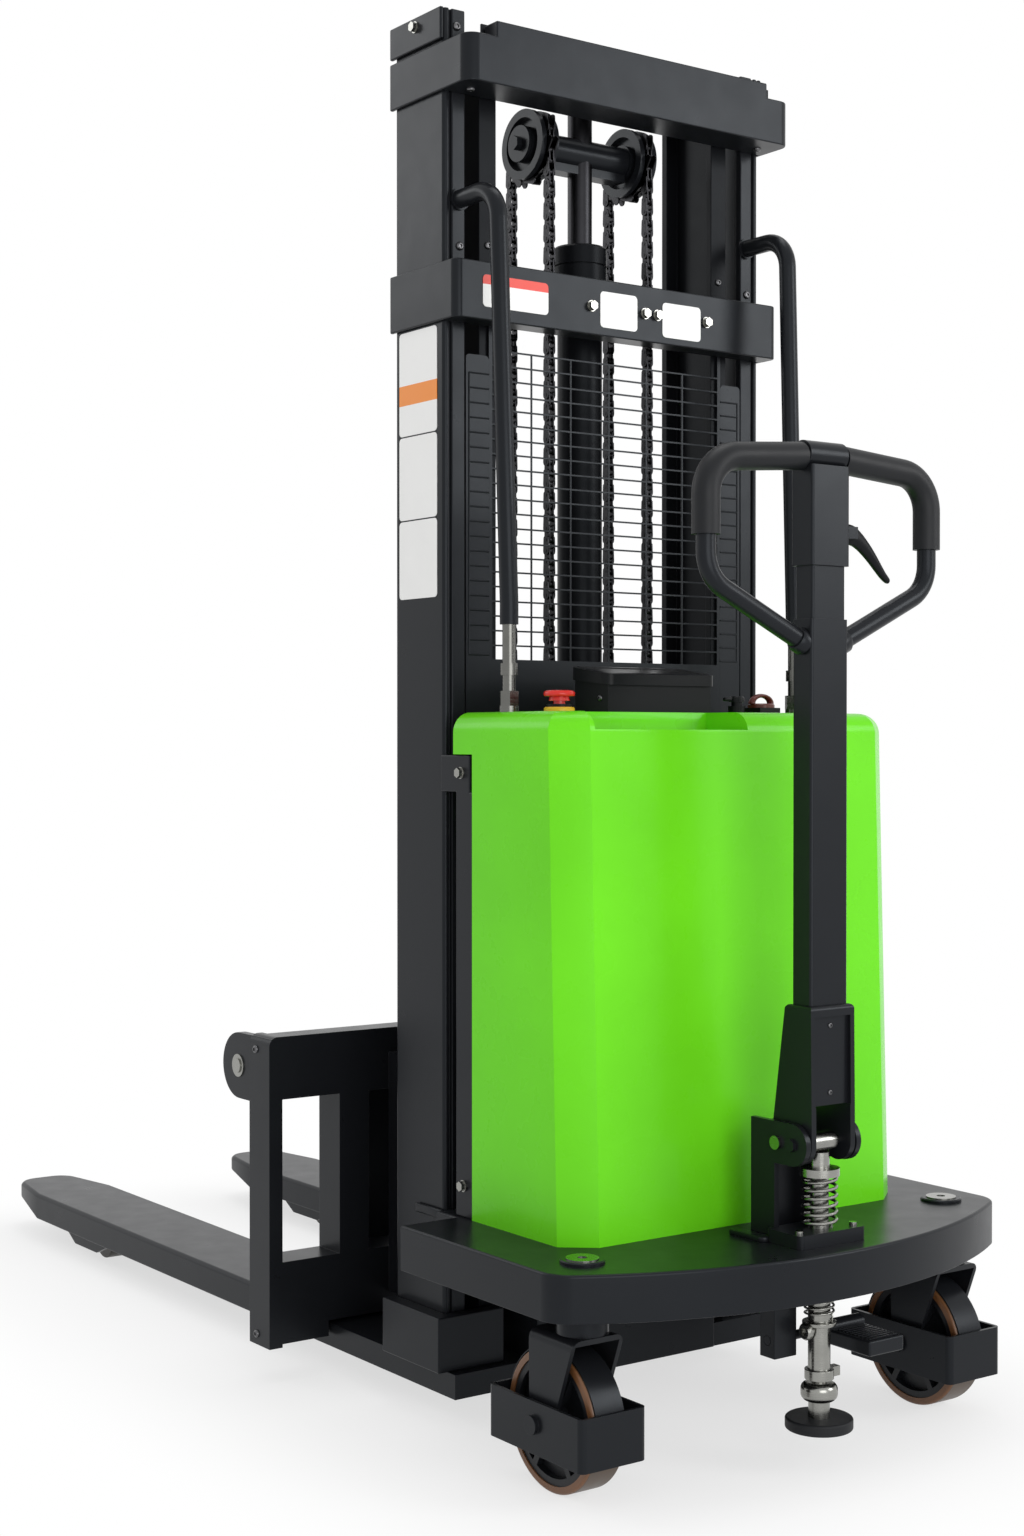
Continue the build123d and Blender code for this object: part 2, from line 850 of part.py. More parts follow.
def mast_beam(z, depth, corner_radius):
    """Beam behind both columns with straps along their sides, hollow towards the mast."""
    beam_rear_y = column_rear_y - depth
    with BuildSketch(Plane.XY.offset(z[0])) as outline:
        with Locations((0, (beam_rear_y + strap_front_y) / 2)):
            Rectangle(2 * strap_half_width, strap_front_y - beam_rear_y)
        fillet(outline.vertices().group_by(Axis.Y)[0], corner_radius)
        with Locations((0, (column_rear_y + strap_front_y + past) / 2)):
            Rectangle(2 * column_half_width, strap_front_y + past - column_rear_y, mode=Mode.SUBTRACT)
    extrude(outline.sketch, amount=z[1] - z[0])
    block(
        (-column_half_width + corner_radius, column_half_width - corner_radius),
        (beam_rear_y + beam_wall, column_rear_y + past),
        (z[0] + beam_wall, z[1] - beam_wall),
        Mode.SUBTRACT,
    )


with BuildPart() as mast_top_beam:
    mast_beam((top_beam_bottom, top_beam_top), top_beam_depth, top_beam_corner)
    block(
        (-top_rise_half_width, top_rise_half_width),
        (top_beam_rear_y, top_beam_rear_y + top_rise_depth),
        (top_beam_top, top_beam_top + top_rise_height),
    )
    for cap_x in (-strap_half_width, column_half_width):
        cap_x_range = (cap_x, cap_x + strap_wall)
        block(cap_x_range, (column_rear_y, strap_front_y), (column_top - cap_height, column_top))
finish(mast_top_beam, "mast_top_beam")

with BuildPart() as mast_mid_beam:
    mast_beam((mid_beam_bottom, mid_beam_top), mid_beam_depth, mid_beam_corner)
finish(mast_mid_beam, "mast_mid_beam")

# Wire guard: one flat sheet, open where the mesh is and plain below
with BuildPart() as mesh_guard:
    with BuildSketch(Plane(origin=(0, column_rear_y, 0), x_dir=(1, 0, 0), z_dir=(0, -1, 0))):
        with Locations((0, (guard_bottom + guard_top) / 2)):
            Rectangle(2 * guard_half_width, guard_top - guard_bottom)
        mesh_top = mid_beam_bottom - mesh_drop
        mesh_pitch_x = (2 * (guard_half_width - mesh_rim) + mesh_wire) / mesh_columns
        mesh_pitch_z = (mesh_top - mesh_bottom) / mesh_rows
        with Locations((0, (mesh_bottom + mesh_top) / 2)):
            with GridLocations(mesh_pitch_x, mesh_pitch_z, mesh_columns, mesh_rows):
                Rectangle(mesh_pitch_x - mesh_wire, mesh_pitch_z - mesh_wire, mode=Mode.SUBTRACT)
        above_mesh = (mesh_top + mesh_wire / 2, guard_top - mesh_rim)
        with Locations((0, sum(above_mesh) / 2)):
            Rectangle(
                2 * (guard_half_width - mesh_rim), above_mesh[1] - above_mesh[0], mode=Mode.SUBTRACT
            )
    extrude(amount=-guard_thickness)
finish(mesh_guard, "mesh_guard")

# Lift cylinder: barrel with a gland nut at its top
with BuildPart() as lift_cylinder:
    upright(0, lift_y, (cross_top, gland_bottom), barrel_radius)
    upright(0, lift_y, (gland_bottom, gland_top), gland_radius)
    chamfer(lift_cylinder.faces().sort_by(Axis.Z)[-1].edges(), gland_edge)
    with BuildSketch(Plane((0, lift_y, (gland_bottom + gland_top) / 2))):
        Circle(gland_radius + past)
        Circle(gland_radius - gland_groove, mode=Mode.SUBTRACT)
    extrude(amount=gland_groove, mode=Mode.SUBTRACT)
    upright(0, lift_y, (cross_top + barrel_floor, gland_bottom), barrel_bore, Mode.SUBTRACT)
    gland_bore_z = (gland_bottom - past, gland_top + past)
    upright(0, lift_y, gland_bore_z, rod_radius + running, Mode.SUBTRACT)
finish(lift_cylinder, "lift_cylinder")

# Fixed chain anchor clamped round the barrel
with BuildPart() as chain_anchor:
    anchor_z = (anchor_top - anchor_height, anchor_top)
    anchor_y = (lift_y - chain_outer_radius, lift_y - barrel_radius + gland_edge)
    block((-anchor_half_width, anchor_half_width), anchor_y, anchor_z)
    upright(0, lift_y, anchor_z, gland_radius)
    upright(0, lift_y, (anchor_z[0] - past, anchor_z[1] + past), barrel_radius, Mode.SUBTRACT)
finish(chain_anchor, "chain_anchor")

# Moving inner mast: rails with stub axles, and the members that tie them
with BuildPart() as inner_rails:
    rail_x = (rail_inner, rail_outer)
    channel(rail_x, (rail_rear_y, rail_front_y), (rail_bottom, rail_top), rail_web, rail_flange_wall)
    mast_spacer_x = (rail_outer - past, mast_roller_x[0] - rub_gap)
    crosswise(mast_spacer_x, mast_y, mast_roller_z, mast_spacer_radius)
    mast_axle_x = (mast_spacer_x[0], mast_roller_x[1])
    crosswise(mast_axle_x, mast_y, mast_roller_z, roller_axle_radius)
    mirror(about=Plane.YZ)
finish(inner_rails, "inner_rails")

with BuildPart() as inner_cross_members:
    rail_web_face = rail_outer - rail_web
    inner_top_y = (lift_y - inner_top_depth / 2, lift_y + inner_top_depth / 2)
    block((-rail_web_face, rail_web_face), inner_top_y, (inner_top_bottom, rail_top))
    inner_low_y = (rail_rear_y, rail_rear_y + rail_flange_wall)
    inner_low_z = (inner_low_bottom, inner_low_bottom + inner_low_height)
    block((-rail_inner, rail_inner), inner_low_y, inner_low_z)
finish(inner_cross_members, "inner_cross_members")

with BuildPart() as lift_rod:
    piston_bottom = cross_top + barrel_floor + piston_lift
    upright(0, lift_y, (piston_bottom, inner_top_bottom), rod_radius)
    upright(0, lift_y, (piston_bottom, piston_bottom + piston_height), barrel_bore - running)
finish(lift_rod, "lift_rod")

# Crosshead on the rod, the axle of both sheaves
with BuildPart() as crosshead:
    crosshead_low = crosshead_z - crosshead_bar_drop
    crosshead_high = crosshead_z + crosshead_radius
    crosswise((-crosshead_end, crosshead_end), lift_y, crosshead_z, crosshead_radius)
    crosshead_bar_end = sheave_x_range[0] - side_play
    block(
        (-crosshead_bar_end, crosshead_bar_end),
        (lift_y - crosshead_bar_depth / 2, lift_y + crosshead_bar_depth / 2),
        (crosshead_low, crosshead_low + crosshead_bar_height),
    )
    upright(0, lift_y, (crosshead_low - past, crosshead_high + past), rod_radius, Mode.SUBTRACT)
    for way in (-1, 1):
        bar((way * crosshead_end, lift_y, crosshead_z), (way, 0, 0), retainer_radius, retainer_thickness)
        nut_start = (way * (crosshead_end + retainer_thickness), lift_y, crosshead_z)
        hex_bar(nut_start, (way, 0, 0), nut_across, nut_height)
finish(crosshead, "crosshead")

# Chain sheaves: grooved rims, dished sides with curved slots
with BuildPart() as sheaves:
    crosswise(sheave_x_range, lift_y, crosshead_z, sheave_radius)
    with BuildSketch(side_plane(sheave_x - sheave_groove_width / 2, lift_y, crosshead_z)):
        Circle(sheave_radius + past)
        Circle(sheave_groove_radius, mode=Mode.SUBTRACT)
    extrude(amount=sheave_groove_width, mode=Mode.SUBTRACT)
    dish_radius = sheave_radius - sheave_rim
    for face_x, depth in ((sheave_x_range[0], sheave_recess), (sheave_x_range[1], -sheave_recess)):
        with BuildSketch(side_plane(face_x, lift_y, crosshead_z)):
            Circle(dish_radius)
            Circle(sheave_hub_radius, mode=Mode.SUBTRACT)
        extrude(amount=depth, mode=Mode.SUBTRACT)
    slot_radius = (dish_radius + sheave_hub_radius) / 2
    with BuildSketch(side_plane(sheave_x_range[0], lift_y, crosshead_z)):
        for k in range(sheave_slots):
            slot_start = 360 / sheave_slots * k
            slot_arc = CenterArc((0, 0), slot_radius, slot_start, sheave_slot_angle, mode=Mode.PRIVATE)
            SlotArc(slot_arc, sheave_slot_width)
    extrude(amount=sheave_width, mode=Mode.SUBTRACT)
    crosswise(sheave_x_range, lift_y, crosshead_z, crosshead_radius + running, Mode.SUBTRACT)
    mirror(about=Plane.YZ)
finish(sheaves, "sheaves")

# Lift chains: half wraps over the sheaves, and the rear and front falls
with BuildPart() as chain_wraps:
    with BuildSketch(side_plane(chain_x_range[0], lift_y, crosshead_z)):
        Circle(chain_outer_radius)
        Circle(chain_inner_radius, mode=Mode.SUBTRACT)
        with Locations((0, -chain_outer_radius)):
            Rectangle(3 * chain_outer_radius, 2 * chain_outer_radius, mode=Mode.SUBTRACT)
    extrude(amount=chain_width)
    mirror(about=Plane.YZ)
finish(chain_wraps, "chain_wraps")

with BuildPart() as chain_falls_rear:
    rear_fall_y = (lift_y - chain_outer_radius, lift_y - chain_inner_radius)
    block(chain_x_range, rear_fall_y, (anchor_top, crosshead_z))
    mirror(about=Plane.YZ)
finish(chain_falls_rear, "chain_falls_rear")

with BuildPart() as chain_falls_front:
    front_fall_y = (lift_y + chain_inner_radius, lift_y + chain_outer_radius)
    block(chain_x_range, front_fall_y, (chain_bar_top, crosshead_z))
    mirror(about=Plane.YZ)
finish(chain_falls_front, "chain_falls_front")


def guide_rollers(x, z, radius):
    """Pair of rollers that share one axis across the mast."""
    with BuildPart() as pair:
        crosswise(x, mast_y, z, radius)
        chamfer(pair.edges().filter_by(GeomType.CIRCLE), roller_edge)
        crosswise(x, mast_y, z, roller_axle_radius + running, Mode.SUBTRACT)
        mirror(about=Plane.YZ)
    return pair


finish(guide_rollers(mast_roller_x, mast_roller_z, mast_roller_radius), "mast_rollers")

carriage_roller_start = roller_plate_outer + rub_gap
carriage_roller_x = (carriage_roller_start, carriage_roller_start + carriage_roller_width)
carriage_roller_heights = {"lower": carriage_roller_low_z, "upper": carriage_roller_high_z}
for level, height in carriage_roller_heights.items():
    finish(guide_rollers(carriage_roller_x, height, carriage_roller_radius), f"carriage_rollers_{level}")

# Fork carriage: welded frame with roller plates, chain bar and lugs for the fork shaft
with BuildPart() as carriage_frame:
    block((upright_inner, carriage_half_width), carriage_y_range, (carriage_bottom, carriage_top))
    upright_corner = carriage_frame.edges().filter_by(Axis.Y).group_by(Axis.Z)[-1].sort_by(Axis.X)[-1]
    fillet(upright_corner, upright_corner_radius)
    lug_z = (fork_shaft_z - lug_radius, fork_shaft_z + lug_radius)
    block((lug_inner, lug_outer), (carriage_rear_y, fork_shaft_y), lug_z)
    crosswise((lug_inner, lug_outer), fork_shaft_y, fork_shaft_z, lug_radius)
    inner_upright_z = (low_bar_bottom, carriage_top - top_bar_height / 2)
    block((inner_upright_x, inner_upright_x + inner_upright_width), carriage_y_range, inner_upright_z)
    block(
        (roller_plate_inner, roller_plate_outer),
        (rail_rear_y + rail_flange_wall + roller_plate_rear_gap, carriage_rear_y + past),
        (roller_plate_bottom, roller_plate_top),
    )
    for height in carriage_roller_heights.values():
        crosswise((roller_plate_inner, carriage_roller_x[1]), mast_y, height, roller_axle_radius)
    chain_bar_y = lift_y + gland_radius + chain_bar_gap
    chain_bar_front_y = chain_bar_y + chain_bar_depth
    chain_bar_z = (chain_bar_top - chain_bar_height, chain_bar_top)
    block(
        (sheave_x - chain_lug_half_width, sheave_x + chain_lug_half_width),
        (lift_y + chain_inner_radius, chain_bar_front_y),
        chain_bar_z,
    )
    mirror(about=Plane.YZ)
    block((-roller_plate_inner, roller_plate_inner), (chain_bar_y, chain_bar_front_y), chain_bar_z)
    top_bar_y = (carriage_rear_y, carriage_rear_y + top_bar_depth)
    block((-upright_inner, upright_inner), top_bar_y, (carriage_top - top_bar_height, carriage_top))
    low_bar_z = (low_bar_bottom, low_bar_bottom + low_bar_height)
    block((-upright_inner, upright_inner), carriage_y_range, low_bar_z)
    for notch_x in (-fork_centre_x, fork_centre_x):
        notch_half = leg_half + leg_notch_gap
        block(
            (notch_x - notch_half, notch_x + notch_half),
            (carriage_rear_y - past, carriage_front_y + past),
            (low_bar_bottom - past, leg_top + leg_notch_gap),
            Mode.SUBTRACT,
        )
finish(carriage_frame, "carriage_frame")

# Fork shaft between the lugs, with a bolt head outside each lug
with BuildPart() as fork_shaft:
    crosswise((-lug_inner, lug_inner), fork_shaft_y, fork_shaft_z, fork_shaft_radius)
    for way in (-1, 1):
        washer_start = (way * lug_outer, fork_shaft_y, fork_shaft_z)
        bar(washer_start, (way, 0, 0), shaft_washer_radius, shaft_washer)
        bar(washer_start, (way, 0, 0), shaft_head_radius, lug_set_in)
finish(fork_shaft, "fork_shaft")


def fork(side):
    """One fork: a channel blade with a tapered nose, a shank and an eye on the shaft."""
    taper_y = fork_tip_y - fork_taper
    shank_x = (fork_inner, fork_inner + shank_width)
    shank_front_y = carriage_front_y + shank_depth
    rib_start = fork_inner + (shank_width - shank_rib) / 2
    with BuildPart() as blade:
        with BuildSketch(Plane.XY.offset(fork_bottom)) as outline:
            with BuildLine():
                Polyline(
                    (fork_inner, carriage_front_y),
                    (fork_outer, carriage_front_y),
                    (fork_outer, taper_y),
                    (fork_outer - fork_tip_inset, fork_tip_y),
                    (fork_inner + fork_tip_inset, fork_tip_y),
                    (fork_inner, taper_y),
                    close=True,
                )
            make_face()
            fillet(outline.vertices().group_by(Axis.Y)[-1], fork_tip_radius)
        extrude(amount=fork_height)
        chamfer(blade.faces().sort_by(Axis.Z)[-1].edges().sort_by(Axis.Y)[1:], fork_bevel)
        side_profile(
            [
                (taper_y, fork_bottom),
                (taper_y, fork_bottom - past),
                (fork_tip_y + past, fork_bottom - past),
                (fork_tip_y + past, fork_bottom + fork_nose),
            ],
            (fork_inner - past, fork_outer + past),
            Mode.SUBTRACT,
        )
        block(
            (fork_inner + fork_lip, fork_outer - fork_lip),
            (carriage_front_y - past, taper_y - fork_solid_nose),
            (fork_bottom - past, fork_top - fork_plate),
            Mode.SUBTRACT,
        )
        block(shank_x, (carriage_front_y, shank_front_y), (fork_top - fork_plate, fork_shaft_z))
        side_profile(
            [
                (carriage_front_y, fork_top - past),
                (shank_front_y + shank_rib_height, fork_top - past),
                (shank_front_y, fork_top + shank_rib_height),
                (carriage_front_y, fork_top + shank_rib_height),
            ],
            (rib_start, rib_start + shank_rib),
        )
        crosswise(shank_x, fork_shaft_y, fork_shaft_z, eye_radius)
        crosswise(shank_x, fork_shaft_y, fork_shaft_z, fork_shaft_radius + running, Mode.SUBTRACT)
        if side < 0:
            mirror(about=Plane.YZ, mode=Mode.REPLACE)
    return blade


for side_name, side in (("left", -1), ("right", 1)):
    finish(fork(side), f"fork_{side_name}")


# Cover: leaning hood, open below and towards the mast, cut back beside its frame
def cover_rear(z):
    """Rear face of the cover at a height."""
    return cover_rear_y + cover_lean * (z - plate_top) / (cover_top - plate_top)


def cover_form(set_in, low, front_y):
    """Solid of the hood with its rear, sides and top set in, down to a height and out to a front face."""
    foot_y = cover_rear(low)
    top = cover_top - set_in
    with BuildPart() as form:
        with BuildSketch(Plane.XY.offset(low)):
            with BuildLine():
                Polyline(
                    (-cover_half_width, front_y + set_in),
                    (-cover_half_width, foot_y + cover_chamfer_y),
                    (-cover_half_width + cover_chamfer_x, foot_y),
                    (cover_half_width - cover_chamfer_x, foot_y),
                    (cover_half_width, foot_y + cover_chamfer_y),
                    (cover_half_width, front_y + set_in),
                    close=True,
                )
            make_face()
            if set_in:
                offset(amount=-set_in, kind=Kind.INTERSECTION)
        rise = Vector(0, cover_rear(top) - foot_y, top - low)
        extrude(amount=rise.length, dir=rise)
        whole_x = (-cover_half_width, cover_half_width)
        block(whole_x, (front_y, front_y + cover_lean + past), (low, top), Mode.SUBTRACT)
        top_edges = form.edges().group_by(Axis.Z)[-1]
        fillet(top_edges.sort_by(Axis.Y)[:-1], cover_top_radius - set_in)
        block(
            (pocket_left - set_in, pocket_right + set_in),
            (cover_rear_y, pocket_front_y + set_in),
            (cover_top - pocket_drop - set_in, cover_top),
            Mode.SUBTRACT,
        )
    return form


with BuildPart() as cover:
    add(cover_form(0, plate_top, cover_front_y).part)
    add(cover_form(cover_wall, plate_top - past, cover_front_y + past).part, mode=Mode.SUBTRACT)
    for notch_x in ((-cover_half_width - past, -frame_inner), (frame_inner, cover_half_width + past)):
        notch_y_range = (cover_notch_y, cover_front_y + past)
        block(notch_x, notch_y_range, (plate_top - past, cover_notch_top), Mode.SUBTRACT)
finish(cover, "cover")

# Frame of the cover: uprights, brackets to the columns, panel bar and inner shelf
with BuildPart() as cover_frame:
    upright_y = (cover_notch_y, cover_front_y - frame_front_gap)
    block((frame_inner, frame_outer), upright_y, (plate_top, bracket_bottom))
    bracket_z = (bracket_bottom, cover_notch_top - past)
    block((frame_inner, frame_outer), (bracket_rear_y, column_rear_y), bracket_z)
    bracket_foot_x = (frame_outer - bracket_foot_width, frame_outer)
    block(bracket_foot_x, (column_rear_y - frame_wall, column_rear_y), bracket_z)
    mirror(about=Plane.YZ)
    panel_bar_y = (column_rear_y - panel_bar_depth, column_rear_y)
    panel_bar_z = (guard_bottom, guard_bottom + panel_bar_height)
    block((-frame_inner, frame_inner), panel_bar_y, panel_bar_z)
    shelf_rear_y = cover_rear(cover_top) + cover_chamfer_y + shelf_corner_gap
    block((-frame_inner, frame_inner), (shelf_rear_y, shelf_front_y), (shelf_bottom, shelf_top))
finish(cover_frame, "cover_frame")

# Batteries on the base plate below the shelf
with BuildPart() as battery:
    battery_x = (battery_gap / 2, battery_gap / 2 + battery_width)
    battery_y = (inside_y - battery_depth / 2, inside_y + battery_depth / 2)
    battery_top = plate_top + battery_height
    block(battery_x, battery_y, (plate_top, battery_top))
    for terminal_x in (battery_x[0] + terminal_inset, battery_x[1] - terminal_inset):
        upright(terminal_x, inside_y, (battery_top, battery_top + terminal_height), terminal_radius)
    mirror(about=Plane.YZ)
finish(battery, "battery")

# Pump motor on its valve block, and the oil tank beside it
with BuildPart() as power_unit:
    valve_x = (motor_x - valve_width / 2, motor_x + valve_width / 2)
    valve_y = (inside_y - valve_width / 2, inside_y + valve_width / 2)
    valve_top = shelf_top + valve_height
    block(valve_x, valve_y, (shelf_top, valve_top))
    upright(motor_x, inside_y, (valve_top, valve_top + motor_height), motor_radius)
finish(power_unit, "power_unit")

with BuildPart() as oil_tank:
    tank_top = shelf_top + tank_height
    block(
        (tank_x - tank_width / 2, tank_x + tank_width / 2),
        (inside_y - tank_depth / 2, inside_y + tank_depth / 2),
        (shelf_top, tank_top),
    )
    fillet(oil_tank.edges().filter_by(Axis.Z), tank_edge_radius)
    upright(tank_x, inside_y, (tank_top, tank_top + tank_cap_height), tank_cap_radius)
finish(oil_tank, "oil_tank")

# Instrument box on the cover, with a lid on a pin hinge
with BuildPart() as instrument_box:
    block(box_x_range, box_y_range, (cover_top, box_top))
    block(
        (box_x_range[0] + box_wall, box_x_range[1] - box_wall),
        (box_y_range[0] + box_wall, box_y_range[1] - box_wall),
        (cover_top + box_wall, box_top + past),
        Mode.SUBTRACT,
    )
    hinge_end = hinge_half_length + side_play + hinge_ear
    for ear_x in (hinge_middle - hinge_end, hinge_middle + hinge_end - hinge_ear):
        ear_range = (ear_x, ear_x + hinge_ear)
        block(ear_range, (box_y_range[1], hinge_y), (hinge_z - hinge_radius, hinge_z + hinge_radius))
        crosswise(ear_range, hinge_y, hinge_z, hinge_radius)
    pin_range = (hinge_middle - hinge_end, hinge_middle + hinge_end)
    crosswise(pin_range, hinge_y, hinge_z, hinge_pin_radius)
finish(instrument_box, "instrument_box")

with BuildPart() as box_lid:
    lid_x = (box_x_range[0] - lid_overhang, box_x_range[1] + lid_overhang)
    lid_y = (box_y_range[0] - lid_overhang, box_y_range[1] + lid_overhang)
    block(lid_x, lid_y, (box_top, box_top + lid_height))
    fillet(box_lid.edges().filter_by(Axis.Z), lid_corner_radius)
    fillet(box_lid.faces().sort_by(Axis.Z)[-1].edges(), lid_edge_radius)
    barrel_x = (hinge_middle - hinge_half_length, hinge_middle + hinge_half_length)
    leaf_y = (hinge_y - hinge_leaf / 2, hinge_y + hinge_leaf / 2)
    block(barrel_x, leaf_y, (hinge_z, box_top))
    crosswise(barrel_x, hinge_y, hinge_z, hinge_radius)
    bore_x = (barrel_x[0] - past, barrel_x[1] + past)
    crosswise(bore_x, hinge_y, hinge_z, hinge_pin_radius + running, Mode.SUBTRACT)
finish(box_lid, "box_lid")

# Seats of the emergency stop, the key switch and the isolator
with BuildPart() as switch_bases:
    estop_base_z = (cover_top, cover_top + estop_base_height)
    upright(estop_x, estop_y, estop_base_z, estop_base_radius)
    upright(estop_x, estop_y, estop_base_z, estop_stem_radius + rub_gap, Mode.SUBTRACT)
    key_base_top = cover_top + key_base_height
    upright(key_x, switch_y, (cover_top, key_base_top), key_base_radius)
    isolator_base_top = cover_top + isolator_base_height
    block(
        (isolator_x - isolator_base / 2, isolator_x + isolator_base / 2),
        (switch_y - isolator_base / 2, switch_y + isolator_base / 2),
        (cover_top, isolator_base_top),
    )
finish(switch_bases, "switch_bases")

with BuildPart() as estop_button:
    estop_head_bottom = cover_top + estop_base_height + estop_travel + rub_gap
    estop_head_z = (estop_head_bottom, estop_head_bottom + estop_head_height)
    upright(estop_x, estop_y, estop_head_z, estop_head_radius)
    fillet(estop_button.faces().sort_by(Axis.Z)[-1].edges(), estop_head_edge)
    stem_bottom = cover_top + estop_travel + rub_gap
    upright(estop_x, estop_y, (stem_bottom, estop_head_bottom), estop_stem_radius)
finish(estop_button, "estop_button")

with BuildPart() as key:
    key_hub_top = key_base_top + key_hub_height
    upright(key_x, switch_y, (key_base_top, key_hub_top), key_hub_radius)
    bow_plane = Plane(origin=(key_x, switch_y, key_hub_top), x_dir=(1, 0, 0), z_dir=(0, -1, 0))
    with BuildSketch(bow_plane):
        with Locations((0, key_bow_radius)):
            Circle(key_bow_radius)
        Rectangle(2 * key_hub_radius, 2 * key_bow_radius, align=(Align.CENTER, Align.MIN))
        with Locations((0, key_bow_radius)):
            Circle(key_bow_hole, mode=Mode.SUBTRACT)
    extrude(amount=key_bow_wall / 2, both=True)
finish(key, "key")

with BuildPart() as isolator_lever:
    isolator_hub_top = isolator_base_top + isolator_hub_height
    upright(isolator_x, switch_y, (isolator_base_top, isolator_hub_top), isolator_hub_radius)
    with BuildSketch(Plane((isolator_x, switch_y, isolator_hub_top))):
        SlotOverall(isolator_bar_length, isolator_bar_width)
    extrude(amount=isolator_bar_height)
finish(isolator_lever, "isolator_lever")

# Grab rails from the columns down to the cover, with their fittings
with BuildPart() as grab_rails:
    with BuildLine() as grab_path:
        FilletPolyline(
            (grab_foot_x, column_rear_y, grab_foot_z),
            (grab_foot_x, grab_y, grab_foot_z),
            (grab_low_x, grab_low_y, grab_low_z + grab_straight),
            (grab_low_x, grab_low_y, grab_low_z),
            radius=grab_bend,
        )
    sweep_round(grab_path.line, grab_radius)
    bar((grab_foot_x, column_rear_y, grab_foot_z), (0, -1, 0), grab_flange_radius, grab_flange)
    mirror(about=Plane.YZ)
finish(grab_rails, "grab_rails")

with BuildPart() as rail_fittings:
    fitting_nut_z = cover_top + fitting_flange_height
    fitting_neck_z = fitting_nut_z + fitting_nut_height
    fitting_collar_z = grab_low_z - fitting_collar_drop
    upright(grab_low_x, grab_low_y, (cover_top, fitting_nut_z), fitting_flange_radius)
    hex_bar((grab_low_x, grab_low_y, fitting_nut_z), (0, 0, 1), fitting_nut_across, fitting_nut_height)
    upright(grab_low_x, grab_low_y, (fitting_neck_z, grab_low_z), fitting_neck_radius)
    fitting_collar_range = (fitting_collar_z - fitting_collar_height, fitting_collar_z)
    upright(grab_low_x, grab_low_y, fitting_collar_range, fitting_collar_radius)
    mirror(about=Plane.YZ)
finish(rail_fittings, "rail_fittings")

# Tiller bracket: mount plate, front wall and two cheeks with long lugs for the pivot
with BuildPart() as tiller_bracket:
    mount_y = (tiller_y - mount_rear, tiller_y + mount_front)
    block((-mount_half_width, mount_half_width), mount_y, (plate_top, mount_top))
    fillet(tiller_bracket.edges().filter_by(Axis.Z), mount_corner_radius)
    upright(0, tiller_y, (plate_top, mount_top), plunger_stem_radius + rub_gap, Mode.SUBTRACT)
    post_z = (plate_top, plate_top + post_height)
    front_wall_y = (post_front_y - post_wall, post_front_y)
    block((-bracket_outer, bracket_outer), front_wall_y, post_z)
    lug_z = (pivot_z - bracket_lug_radius, pivot_z + bracket_lug_radius)
    for way in (-1, 1):
        bracket_cheek_x = sorted((way * bracket_outer, way * (bracket_outer - bracket_wall)))
        block(bracket_cheek_x, (post_front_y - post_depth, post_front_y), post_z)
        block(bracket_cheek_x, (tiller_y, post_front_y), lug_z)
        crosswise(bracket_cheek_x, tiller_y, pivot_z, bracket_lug_radius)
        crosswise(bracket_cheek_x, pivot_y, pivot_z, pivot_radius + running, Mode.SUBTRACT)
        lug_screw = (way * bracket_outer, tiller_y, pivot_z)
        hex_bar(lug_screw, (way, 0, 0), lug_screw_across, lug_screw_height)
finish(tiller_bracket, "tiller_bracket")

# Tiller yoke: block that forks round the pivot, with a shallow panel behind
with BuildPart() as tiller_yoke:
    yoke_low_z = pivot_z - yoke_rear
    with BuildSketch(side_plane(-yoke_half_width)):
        with BuildLine():
            Polyline(
                (tiller_y - yoke_half_top, yoke_top),
                (tiller_y + yoke_half_top, yoke_top),
                (tiller_y + yoke_front, pivot_z),
                (tiller_y - yoke_rear, pivot_z),
                close=True,
            )
        make_face()
        with Locations((tiller_y, pivot_z)):
            Circle(yoke_rear)
        with Locations((pivot_y, pivot_z)):
            Circle(yoke_eye_radius)
    extrude(amount=2 * yoke_half_width)
    fillet(tiller_yoke.faces().sort_by(Axis.Z)[-1].edges(), yoke_corner_radius)
    yoke_gap = yoke_half_width - yoke_wall
    yoke_y = (tiller_y - 2 * yoke_rear, tiller_y + 2 * yoke_front)
    block((-yoke_gap, yoke_gap), yoke_y, (yoke_low_z - past, yoke_opening_top), Mode.SUBTRACT)
    recess_half = yoke_half_width - yoke_recess_margin
    block(
        (-recess_half, recess_half),
        (tiller_y - 2 * yoke_half_top, tiller_y - yoke_half_top + yoke_recess),
        (yoke_opening_top - past, yoke_top - 2 * yoke_recess_margin),
        Mode.SUBTRACT,
    )
    yoke_x = (-yoke_half_width, yoke_half_width)
    crosswise(yoke_x, pivot_y, pivot_z, pivot_radius + running, Mode.SUBTRACT)
    crosswise(yoke_x, tiller_y, pivot_z, tiller_pin_radius + running, Mode.SUBTRACT)
finish(tiller_yoke, "tiller_yoke")

with BuildPart() as tiller_roller:
    crosswise((-tiller_roller_half, tiller_roller_half), tiller_y, pivot_z, tiller_roller_radius)
    crosswise(yoke_x, tiller_y, pivot_z, tiller_pin_radius)
finish(tiller_roller, "tiller_roller")

arm_y = (tiller_y - arm_half_depth, tiller_y + arm_half_depth)
head_y = (tiller_y - head_half_depth, tiller_y + head_half_depth)

